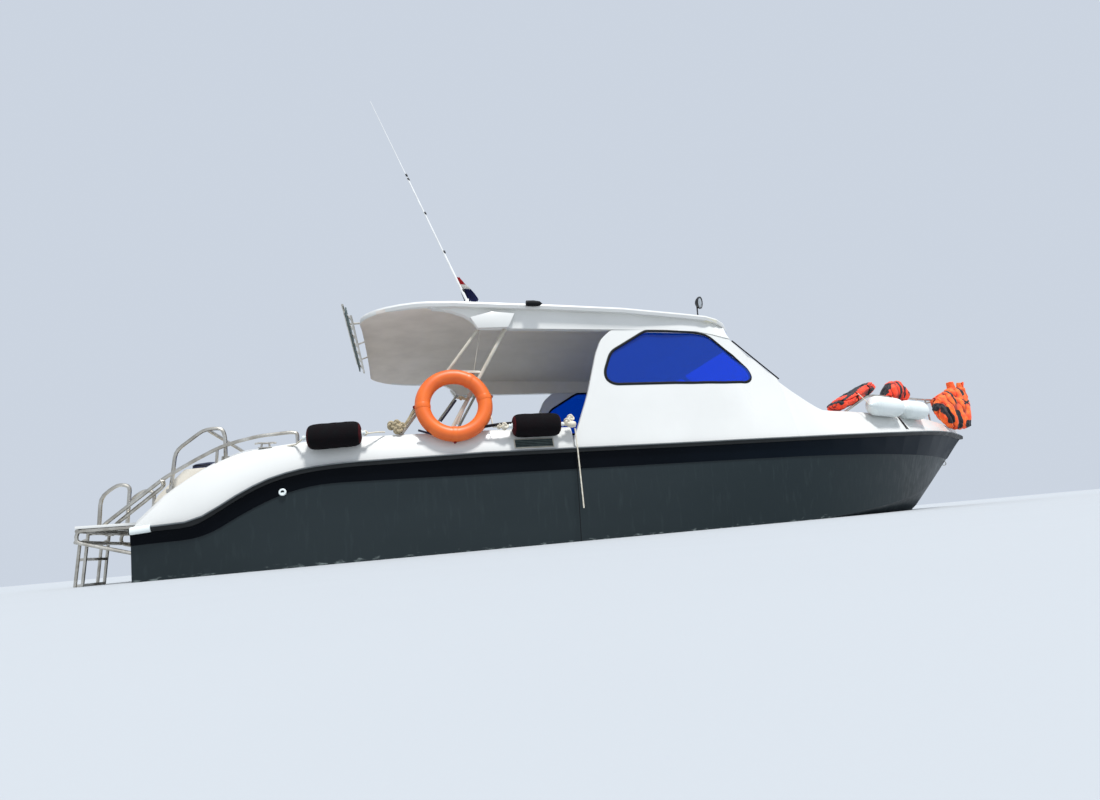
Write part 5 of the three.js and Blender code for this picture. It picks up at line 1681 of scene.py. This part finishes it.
@dataclass
class Fenders:
    """Two fenders in knitted covers on the gunwale, two white ones at the foredeck's edge, and their ties.

    Profiles are radius and height from the fender's end, in mm.
    """

    cover_mm: float = 112.0
    barrel_mm: float = 118.0
    drawn_mm: float = 24.0
    neck_profile: tuple[Pair, ...] = (
        (0, -4), (32, -4), (30, 3), (19, 9), (17, 14), (21, 18), (21, 28), (15, 34), (0, 35),
    )
    cone_profile: tuple[Pair, ...] = (
        (0, 0), (17, 0), (21, 4), (21, 22), (25, 27), (33, 31), (40, 36), (42, 40), (49, 43), (58, 50),
        (60, 54), (68, 58), (79, 67), (81, 71), (90, 77), (101, 89), (110, 104), (116, 124),
    )

    def build(self) -> None:
        """Makes the four fenders and their ropes."""
        for node in ("fender_dark_aft", "fender_dark_forward"):
            self.covered(node)
        whites = ("fender_white_aft", "fender_white_forward")
        for node in whites:
            self.bare(node)
        self.ties()
        self.bow_ties(whites)

    def barrel(self, half: Sequence[Point], middle: Sequence[Point], long: float) -> list[Point]:
        """A fender's profile, the same at both ends.

        Args:
            half: The profile of one end.
            middle: What lies between the ends.
            long: The fender's length in mm.

        Returns:
            The whole profile.
        """
        return [*half, *middle, *((radius, long - height) for radius, height in reversed(half))]

    def covered(self, node: str) -> None:
        """A fender in its sock: knitted barrel, drawn ends in dark red, and the vinyl necks.

        Args:
            node: The CAD fender that it stands for.
        """
        aft, fore = ends_of(node)
        axis = fore - aft
        long = axis.length / MM
        r = self.cover_mm
        half = [(0, 0), (26, 0), (52, 3), (76, 10), (94, 22), (r - 8, 40), (r - 3, 62), (r - 1, 90)]
        middle = [(r - 0.5 + 1.2 * math.sin(i * 1.7), 100 + (long - 200) * i / 9) for i in range(1, 9)]
        bm = turned(self.barrel(half, middle, long), aft, axis, 48)
        made = object_of(f"{node}_cover", bm, Paint.COVER, 60)
        made.data.materials.append(Paint.PIPING.material)
        direction = axis.normalized()
        for face in made.data.polygons:
            reach = (face.center - aft).dot(direction) / MM
            if min(reach, long - reach) < self.drawn_mm:
                face.material_index = 1
        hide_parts(node)
        riding(made, BOAT)
        necks = (turned(self.neck_profile, end, way, 24) for end, way in ((aft, -direction), (fore, direction)))
        trim(f"{node}_necks", joined(*necks), Paint.FENDER)

    def bare(self, node: str) -> None:
        """A white fender: barrel, and conical ends with moulded ridges.

        Args:
            node: The CAD fender that it stands for.
        """
        aft, fore = ends_of(node)
        long = (fore - aft).length / MM
        half = [*self.cone_profile, (self.barrel_mm, 150)]
        bm = turned(self.barrel(half, [(self.barrel_mm, long / 2)], long), aft, fore - aft, 56)
        made = object_of(f"{node}_barrel", bm, Paint.FENDER, 50)
        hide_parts(node)
        riding(made, BOAT)

    def ties(self) -> None:
        """The white ropes that hold the covered fenders."""
        neck = Vector((0.035, 0, 0))
        front, back = ends_of("fender_dark_forward"), ends_of("fender_dark_aft")
        fore_aft, fore_fore, back_aft, back_fore = front[0] - neck, front[1] + neck, back[0], back[1]
        lines = [
            [fore_aft, fore_aft + Vector((-0.05, 0.0, 0.004)), fore_aft + Vector((-0.14, 0.02, 0.0)),
             (-2.20, -1.44, 1.235)],
            [fore_fore, fore_fore + Vector((0.04, 0.005, 0.01)), (-1.455, -1.478, 1.15), (-1.43, -1.470, 1.11)],
            [back_fore, back_fore + Vector((0.05, 0.02, 0.0)), (-3.22, -1.42, 1.105), (-3.16, -1.37, 1.112)],
            [back_aft, back_aft + Vector((-0.04, 0.02, -0.01)), (-3.90, -1.38, 1.03), (-4.02, -1.33, 1.02)],
        ]
        knots = [
            (fore_aft + Vector((-0.035, 0.0, 0.0)), 40.0), (fore_aft + Vector((-0.085, 0.01, 0.004)), 30.0),
            (fore_fore + Vector((0.040, 0.0, 0.02)), 42.0), ((-1.425, -1.466, 1.165), 40.0),
            ((-1.405, -1.468, 1.105), 30.0), (back_fore + Vector((0.03, 0.0, 0.0)), 26.0),
        ]
        trim("fender_ties", ropework(lines, 7.0, 0.03, knots), Paint.ROPE, 70)

    def bow_ties(self, nodes: Sequence[str]) -> None:
        """The thin ropes from the white fenders' ends to the rail.

        Args:
            nodes: The CAD fenders.
        """
        lines = []
        for node in nodes:
            for end, sign in zip(ends_of(node), (-1, 1)):
                steps = ((sign * 0.004, 0, 0), (sign * 0.025, 0.01, 0.05), (sign * 0.03, 0.10, 0.17))
                lines.append([end + Vector(step) for step in steps])
        trim("bow_fender_ties", ropework(lines, 5.0, 0.03), Paint.ROPE, 70)


@dataclass(frozen=True)
class Vest:
    """One dried life jacket: the CAD solid that it fills, how its cloth folds, and where its belts run.

    Its dark places are lines in X and Z with a reach, where the lining, edging or straps show and where shade
    is painted.
    """

    node: str
    paint: Paint
    grain: Place
    folds_per_metre: float
    depth_mm: float
    dark: tuple[tuple[Pair, Pair, float], ...]
    belts: tuple[tuple[Place, Place, float], ...] = ()
    stretch: float = 0.22


@dataclass
class Jackets:
    """The three life jackets on the bow rail, and how their cloth puffs and folds."""

    seed: int = 7
    voxel_mm: float = 6.0
    pressure: float = 3.0
    puff_mm: float = 8.0
    frames: int = 12
    rounds: int = 3
    bend: float = 0.35
    bends_per_metre: float = 5.0
    ridge: float = 2.6
    fine: float = 2.4
    broad_share: float = 0.8
    fine_share: float = 0.25
    ragged: float = 0.012
    rags_per_metre: float = 26.0
    edge: float = 2.5
    vests: tuple[Vest, ...] = (
        Vest(
            "life_jacket_aft", Paint.JACKET, (0.918, 0.16, 0.363), 13.0, 26.0,
            (
                ((2.176, 1.437), (2.613, 1.611), 0.034),
                ((2.652, 1.5), (2.583, 1.443), 0.03),
                ((2.014, 1.355), (2.043, 1.311), 0.036),
                ((2.065, 1.342), (2.346, 1.473), 0.014),
                ((2.218, 1.263), (2.573, 1.431), 0.014),
            ),
            (
                ((2.30, -1.0, 1.40), (0.918, 0.16, 0.363), 16.0),
                ((2.56, -0.96, 1.50), (0.918, 0.16, 0.363), 16.0),
            ),
        ),
        Vest(
            "life_jacket_middle", Paint.JACKET, (0.12, 0.0, 0.99), 11.0, 20.0,
            (
                ((3.090, 1.610), (2.950, 1.428), 0.022),
                ((3.207, 1.63), (3.18, 1.392), 0.024),
                ((3.28, 1.589), (3.24, 1.407), 0.014),
                ((3.311, 1.474), (3.37, 1.457), 0.026),
            ),
        ),
        Vest(
            "life_jacket_bow", Paint.AMBER, (0.08, 0.0, 0.99), 9.0, 34.0,
            (
                ((4.480, 1.420), (4.540, 1.180), 0.058),
                ((4.991, 1.78), (4.947, 1.585), 0.042),
                ((5.215, 1.757), (5.14, 1.598), 0.031),
                ((4.811, 1.115), (5.016, 1.116), 0.065),
                ((4.891, 1.483), (4.992, 1.394), 0.02),
                ((5.021, 1.48), (4.868, 1.414), 0.018),
                ((4.669, 1.299), (4.676, 1.094), 0.054),
                ((4.726, 1.627), (4.741, 1.445), 0.026),
            ),
        ),
    )

    def build(self) -> None:
        """Makes each jacket with its belts."""
        noise.seed_set(self.seed)
        for vest in self.vests:
            made = self.cloth(vest)
            if vest.belts:
                self.belting(vest, made)

    def cloth(self, vest: Vest) -> Piece:
        """Fills the CAD solid with puffed and folded cloth.

        Args:
            vest: The jacket.

        Returns:
            The finished piece.
        """
        bm = copied(vest.node)
        bmesh.ops.triangulate(bm, faces=bm.faces)
        made = object_of(f"{vest.node}_cloth", bm, vest.paint, 60)
        remeshed(made, self.voxel_mm)
        puffed(made, self.pressure, self.puff_mm, self.frames)
        bm = bmesh.new()
        bm.from_mesh(made.data)
        for _ in range(self.rounds):
            bmesh.ops.smooth_vert(
                bm, verts=bm.verts, factor=0.5, use_axis_x=True, use_axis_y=True, use_axis_z=True
            )
        bm.normal_update()
        fold = bm.verts.layers.float.new("fold")
        lining = bm.verts.layers.float.new("lining")
        for vert in bm.verts:
            self.crease(vest, vert, fold, lining)
        bm.to_mesh(made.data)
        bm.free()
        for face in made.data.polygons:
            face.use_smooth = True
        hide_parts(vest.node)
        return riding(made, BOAT)

    def crease(
        self,
        vest: Vest,
        vert: bmesh.types.BMVert,
        fold: bmesh.types.BMLayerItem,
        lining: bmesh.types.BMLayerItem,
    ) -> None:
        """Sinks a point into the folds, and notes how deep it lies, which sets the painted shade in the folds,
        and how dark it is where the lining shows and where shade is painted.

        Args:
            vest: The jacket.
            vert: The point.
            fold: The layer that takes the fold's depth.
            lining: The layer that takes the dark places, where the jacket's inside shows and where shade is
                painted.
        """
        place = vert.co.copy()
        grain = Vector(vest.grain).normalized()
        drawn = place - grain * place.dot(grain) * (1 - vest.stretch)
        bend = noise.noise_vector(place * self.bends_per_metre) * self.bend
        broad, fine = (
            max(1 - abs(noise.noise(drawn * vest.folds_per_metre * times + bend * shift)) * self.ridge, 0) ** 2
            for times, shift in ((1, 1), (self.fine, 2))
        )
        depth = self.broad_share * broad + self.fine_share * fine
        vert.co = place - vert.normal * depth * vest.depth_mm * MM
        vert[fold] = min(depth, 1.0)
        ragged = noise.noise(place * self.rags_per_metre) * self.ragged
        dark = 0.0
        for start, end, reach in vest.dark:
            a, b = Vector(start), Vector(end)
            here = Vector((place.x, place.z)) - a
            share = max(0.0, min(1.0, here.dot(b - a) / (b - a).length_squared))
            dark = max(dark, 1 - ((here - (b - a) * share).length + ragged) / reach)
        vert[lining] = max(min(dark * self.edge, 1.0), 0.0)

    def belting(self, vest: Vest, made: Piece) -> None:
        """Runs the webbing belts round a jacket.

        Args:
            vest: The jacket.
            made: Its finished cloth.
        """
        belts = []
        for place, across, wide_mm in vest.belts:
            route, out = girdle(made, place, Vector(across).normalized(), 0.45)
            route = [p + n * 0.003 for p, n in zip(route, out)]
            belts.append(swept(route, wide_mm / 2 + 2, 8, closed=True, out=out, thin=0.22))
        trim(f"{vest.node}_belts", joined(*belts), Paint.WEBBING, 60)


@dataclass
class Flag:
    """A small ensign, furled against the foot of the whip."""

    foot: Place = (-2.350, -1.118, 2.530)
    hoist: float = 0.265
    wide: float = 0.150
    pleats: int = 9
    depth: float = 0.022
    rows: int = 14
    taper: float = 0.70
    rake: float = 0.07
    droop: float = 0.020
    thick_mm: float = 0.8

    def build(self) -> None:
        bm = bmesh.new()
        bmesh.ops.create_grid(bm, x_segments=self.pleats * 6, y_segments=self.rows, size=0.5)
        for vert in bm.verts:
            vert.co = Vector(self.foot) + self.furled(vert.co.x + 0.5, vert.co.y + 0.5)
        area = sum(face.calc_area() for face in bm.faces)
        made = object_of("flag_cloth", bm, Paint.FLAG, 180)
        thick = made.modifiers.new("cloth", "SOLIDIFY")
        thick.thickness = self.thick_mm * MM
        thick.offset = 0.0
        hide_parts("flag")
        riding(made, "antenna")

    def furled(self, u: float, v: float) -> Vector:
        """Where a point of the cloth lies.

        Args:
            u: Its share of the way from the whip to the fly.
            v: Its share of the way up the hoist.

        Returns:
            The place, from the flag's foot.
        """
        spread = self.wide * (1.0 - self.taper * v + 0.08 * math.sin(5 * v))
        y = self.depth * (1 - 0.35 * v) * math.sin(2 * math.pi * self.pleats * u + 1.2 * v)
        y += 0.004 * noise.noise(Vector((u * 6, v * 4, 1.0)))
        x = spread * u - self.rake * v + 0.010 * noise.noise(Vector((u * 3, v * 5, 4.0)))
        z = self.hoist * v + self.droop * u * (1 - v) * math.sin(7 * u)
        return Vector((x, y, z))


@dataclass
class RoofFittings:
    """Spotlight, the whip's collars and the rod rack's slotted plate. Profiles are radius and height in mm."""

    lamp_centre: Place = (0.338, -1.2, 2.535)
    lamp_axis: Place = (0.611, -0.766, -0.206)
    lamp_over: Place = (0.30, -1.2, 4.0)
    lamp_profile: tuple[Pair, ...] = (
        (0, -36), (30, -36), (52, -22), (66, -4), (71, 4), (71, 18), (61, 18), (57, 10), (0, 10),
    )
    lens_profile: tuple[Pair, ...] = ((0, 9), (56, 9), (56, 12), (34, 18), (0, 20))
    base_profile: tuple[Pair, ...] = ((0, -12), (30, -12), (30, 5), (24, 10), (0, 10))
    ferrules: tuple[Pair, ...] = (
        (0.055, 17.0), (0.24, 13.5), (0.43, 12.0), (0.60, 10.5), (0.62, 10.5),
    )
    teeth: int = 29
    first_tooth: float = -1.31
    tooth_step: float = 0.0625
    tooth_half: float = 0.012

    def build(self) -> None:
        """Makes the fittings."""
        self.spotlight()
        self.collars()
        self.rack_plate()

    def spotlight(self) -> None:
        """A round lamp on its stem, tilted off the roof."""
        centre, axis = Vector(self.lamp_centre), Vector(self.lamp_axis).normalized()
        body = turned(self.lamp_profile, centre, axis, 40)
        foot = Skin("hardtop").hit(self.lamp_over, (0, 0, -1))[0]
        route = [foot - Vector((0, 0, 0.01)), foot + Vector((0, 0, 0.04)), centre - axis * 0.026]
        base = turned(self.base_profile, foot, (0, 0, 1), 28)
        made = object_of("spotlight_body", joined(body, swept(route, 8.0, 12), base), Paint.BLACK_PLASTIC)
        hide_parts("spotlight")
        riding(made, BOAT)
        trim("spotlight_lens", turned(self.lens_profile, centre, axis, 36), Paint.LENS)

    def collars(self) -> None:
        """Dark ferrules up the whip."""
        low, high = sorted(ends_of("antenna_whip"), key=lambda end: end.z)
        way = (high - low).normalized()
        long = (high - low).length
        rings = []
        for share, r in self.ferrules:
            profile = [(0, -16), (r * 0.8, -16), (r, -10), (r, 10), (r * 0.8, 16), (0, 16)]
            rings.append(turned(profile, low + way * long * share, way, 16))
        trim("whip_ferrules", joined(*rings), Paint.BLACK_PLASTIC, body="antenna")

    def rack_plate(self) -> None:
        """The slotted plate between the rack's rails: a bar with teeth over and under it."""
        teeth = []
        for i in range(self.teeth):
            y = self.first_tooth + self.tooth_step * i
            low, high = (-3.508, y - self.tooth_half, 2.262), (-3.494, y + self.tooth_half, 2.346)
            teeth.append(rounded_box(low, high, 2.0))
        bar = rounded_box((-3.506, -1.335, 2.290), (-3.497, 0.445, 2.318), 2.0)
        trim("rod_rack_plate", joined(bar, *teeth), Paint.GREY_PLASTIC)


@dataclass
class Cushions:
    """Every upholstered pad: bench and stern seats, helm seat, and the bolster on the stair."""

    pads: tuple[tuple[str, int, float], ...] = (
        ("bench_cushion_starboard", 4, 12.0), ("bench_cushion_port", 4, 12.0), ("stern_cushion", 3, 12.0),
        ("helm_cushion", 1, 16.0), ("bolster", 1, 22.0),
    )
    voxel_mm: float = 16.0
    lone_voxel_mm: float = 8.0
    pressure: float = 4.0
    bolster_rise: float = 0.050
    bolster_aft: float = 0.045
    inset: float = 0.008
    crown_room: float = 0.006
    largest_round_mm: float = 26.0
    welt_mm: float = 4.0
    welt_down: float = 0.022

    def build(self) -> None:
        """Makes each pad."""
        for node, parts, crown_mm in self.pads:
            self.pad(node, parts, crown_mm)

    def pad(self, node: str, parts: int, crown_mm: float) -> None:
        """Cuts a seat into sections along its length, puffs each, and pipes its edges.

        Args:
            node: The CAD cushion that it stands for.
            parts: Sections along its length.
            crown_mm: How far the pressure may lift it.
        """
        low, high = (Vector(corner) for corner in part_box(node))
        if node == "bolster":
            high.z += self.bolster_rise
            low.x -= self.bolster_aft
        size = high - low
        along = 0 if size.x > size.y else 1
        shapes, pipes = [], []
        for i in range(parts):
            a, b = low.copy(), high.copy()
            a[along] = low[along] + size[along] * i / parts
            b[along] = low[along] + size[along] * (i + 1) / parts
            inner_low = a + Vector((self.inset, self.inset, 0.0005))
            inner_high = b - Vector((self.inset, self.inset, self.inset + self.crown_room))
            round_mm = min(self.largest_round_mm, (inner_high.z - inner_low.z) / MM * 0.35)
            shapes.append(rounded_box(inner_low, inner_high, round_mm))
            pipes.append(self.piping(a, b))
        made = object_of(f"{node}_pad", joined(*shapes), Paint.VINYL, 60)
        remeshed(made, self.voxel_mm if parts > 1 else self.lone_voxel_mm)
        puffed(made, self.pressure, crown_mm)
        self.flatten(made, low.z + 0.0004)
        smooth = made.modifiers.new("rounded", "SUBSURF")
        smooth.levels = smooth.render_levels = 1
        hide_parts(node)
        riding(made, BODY_OF[node])
        trim(f"{node}_piping", joined(*pipes), Paint.RUBBER, 60, BODY_OF[node])

    def piping(self, low: Vector, high: Vector) -> Shape:
        """The welt round a section's upper edge.

        Args:
            low: The section's lowest corner.
            high: Its highest corner.

        Returns:
            The welt.
        """
        inset = self.inset
        x0, x1, y0, y1 = low.x + inset, high.x - inset, low.y + inset, high.y - inset
        outline = rounded([(x0, y0), (x1, y0), (x1, y1), (x0, y1)], 0.05)
        z = high.z - inset - self.welt_down
        return swept([(x, y, z) for x, y in outline], self.welt_mm, 8, closed=True)

    def flatten(self, made: Piece, floor: float) -> None:
        """Keeps a pad flat where it rests."""
        for vert in made.data.vertices:
            vert.co.z = max(vert.co.z, floor)


@dataclass
class HelmTrim:
    """Blank gauges and the throttle on the helm's console."""

    dash_normal: Place = (-0.72, 0, 0.69)
    gauge_from: Pair = (0.40, 1.16)
    gauges: tuple[Pair, ...] = ((-0.98, 42.0), (-0.87, 30.0), (-0.62, 30.0), (-0.51, 42.0))
    throttle_over: Place = (0.80, -0.52, 3.0)
    throttle_box: tuple[Place, Place] = ((-0.07, -0.035, -0.003), (0.07, 0.035, 0.05))
    lever: tuple[Place, ...] = ((0, 0, 0.03), (-0.02, 0, 0.12), (-0.045, 0, 0.17))
    grip_at: Place = (-0.045, 0, 0.178)
    grip_profile: tuple[Pair, ...] = ((0, -22), (11, -22), (14, -12), (14, 10), (10, 22), (0, 24))

    def build(self) -> None:
        """Makes the dash's fittings."""
        skin = Skin("helm_console")
        self.dials(skin)
        self.throttle(skin)

    def dials(self, skin: Skin) -> None:
        """Sets the gauges on the dash.

        Args:
            skin: The console's surface.
        """
        normal = Vector(self.dash_normal).normalized()
        x, z = self.gauge_from
        bezels, dials = [], []
        for y, r in self.gauges:
            found = skin.hit((x, y, z), -normal)
            if not found:
                continue
            place, out = found
            bezel = [(0, -4), (r, -4), (r, 6), (r - 5, 9), (r - 7, 5), (0, 5)]
            bezels.append(turned(bezel, place, out, 32))
            dials.append(turned([(0, 4), (r - 8, 4), (r - 8, 6), (0, 6.5)], place, out, 28))
        if bezels:
            trim("gauge_bezels", joined(*bezels), Paint.BLACK_PLASTIC)
            trim("gauge_dials", joined(*dials), Paint.LENS)

    def throttle(self, skin: Skin) -> None:
        """Stands the throttle on the console.

        Args:
            skin: The console's surface.
        """
        found = skin.hit(self.throttle_over, (0, 0, -1))
        if found:
            place = found[0]
            low, high = (place + Vector(corner) for corner in self.throttle_box)
            box = rounded_box(low, high, 12.0)
            lever = swept([place + Vector(step) for step in self.lever], 7.0, 12)
            grip = turned(self.grip_profile, place + Vector(self.grip_at), (-0.4, 0, 1), 20)
            trim("throttle", joined(box, lever, grip), Paint.BLACK_PLASTIC)


@dataclass
class Studio:
    """Camera at the photograph's place, a pale floor at the waterline, and soft light."""

    place: Place = (-3.0, -6.5285, 0.0579)
    right: Place = (0.9664, -0.24228, -0.0865)
    up: Place = (0.0230, -0.2533, 0.9671)
    forward: Place = (0.2563, 0.93659, 0.23924)
    lens_mm: float = 18.23
    sensor_mm: float = 36.0
    far: float = 1000.0
    floor_size: float = 400.0
    sun_from: Place = (0.15, -0.58, 1.15)
    sun_energy: float = 3.4
    sun_deg: float = 9.0
    sky: tuple[float, float, float, float] = (0.80, 0.88, 1.0, 1.0)
    sky_strength: float = 0.75

    def build(self) -> None:
        """Sets camera, floor, sun and sky."""
        self.camera()
        self.floor()
        self.lights()

    def stood(self, name: str, data: bpy.types.ID) -> Piece:
        """Makes an object and links it into the scene.

        Args:
            name: Its name.
            data: Its camera, light or mesh.

        Returns:
            The object.
        """
        made = bpy.data.objects.new(name, data)
        bpy.context.scene.collection.objects.link(made)
        return made

    def camera(self) -> None:
        """Sets the camera."""
        data = bpy.data.cameras.new("camera")
        data.lens = self.lens_mm
        data.sensor_width = self.sensor_mm
        data.sensor_fit = "HORIZONTAL"
        data.clip_end = self.far
        made = self.stood("camera", data)
        columns = [Vector(self.right), Vector(self.up), -Vector(self.forward)]
        turn = Matrix([[c[i] for c in columns] for i in range(3)]).to_quaternion()
        made.matrix_world = Matrix.Translation(self.place) @ turn.to_matrix().to_4x4()
        bpy.context.scene.camera = made

    def floor(self) -> None:
        """Sets the floor plane at the waterline."""
        bm = bmesh.new()
        bmesh.ops.create_grid(bm, x_segments=1, y_segments=1, size=self.floor_size / 2)
        mesh = bpy.data.meshes.new("floor")
        bm.to_mesh(mesh)
        bm.free()
        floor = self.stood("floor", mesh)
        mesh.materials.append(Finish("pale_floor", 0xB6BABD, roughness=0.9).build())

    def lights(self) -> None:
        """Sets a broad sun from the upper right and a pale sky."""
        data = bpy.data.lights.new("sun", "SUN")
        data.energy = self.sun_energy
        data.angle = math.radians(self.sun_deg)
        sun = self.stood("sun", data)
        sun.rotation_euler = Vector(self.sun_from).to_track_quat("Z", "Y").to_euler()
        world = bpy.data.worlds.new("sky")
        world.use_nodes = True
        bpy.context.scene.world = world
        back = world.node_tree.nodes["Background"]
        back.inputs["Color"].default_value = self.sky
        back.inputs["Strength"].default_value = self.sky_strength
        bpy.context.scene.view_settings.view_transform = "Standard"


def main() -> None:
    """Builds every sub-assembly in order."""
    logging.basicConfig(level=logging.INFO, format="%(message)s")
    parts = (
        Studio(), HangingRope(), Plain(), Roof(), Glazing(), RubbingStrake(), SideFittings(), LifeRing(),
        Fenders(), Jackets(), Flag(), RoofFittings(), Cushions(), HelmTrim(),
    )
    for part in parts:
        part.build()
        LOG.info("built %s", type(part).__name__)


if __name__ == "__main__":
    main()
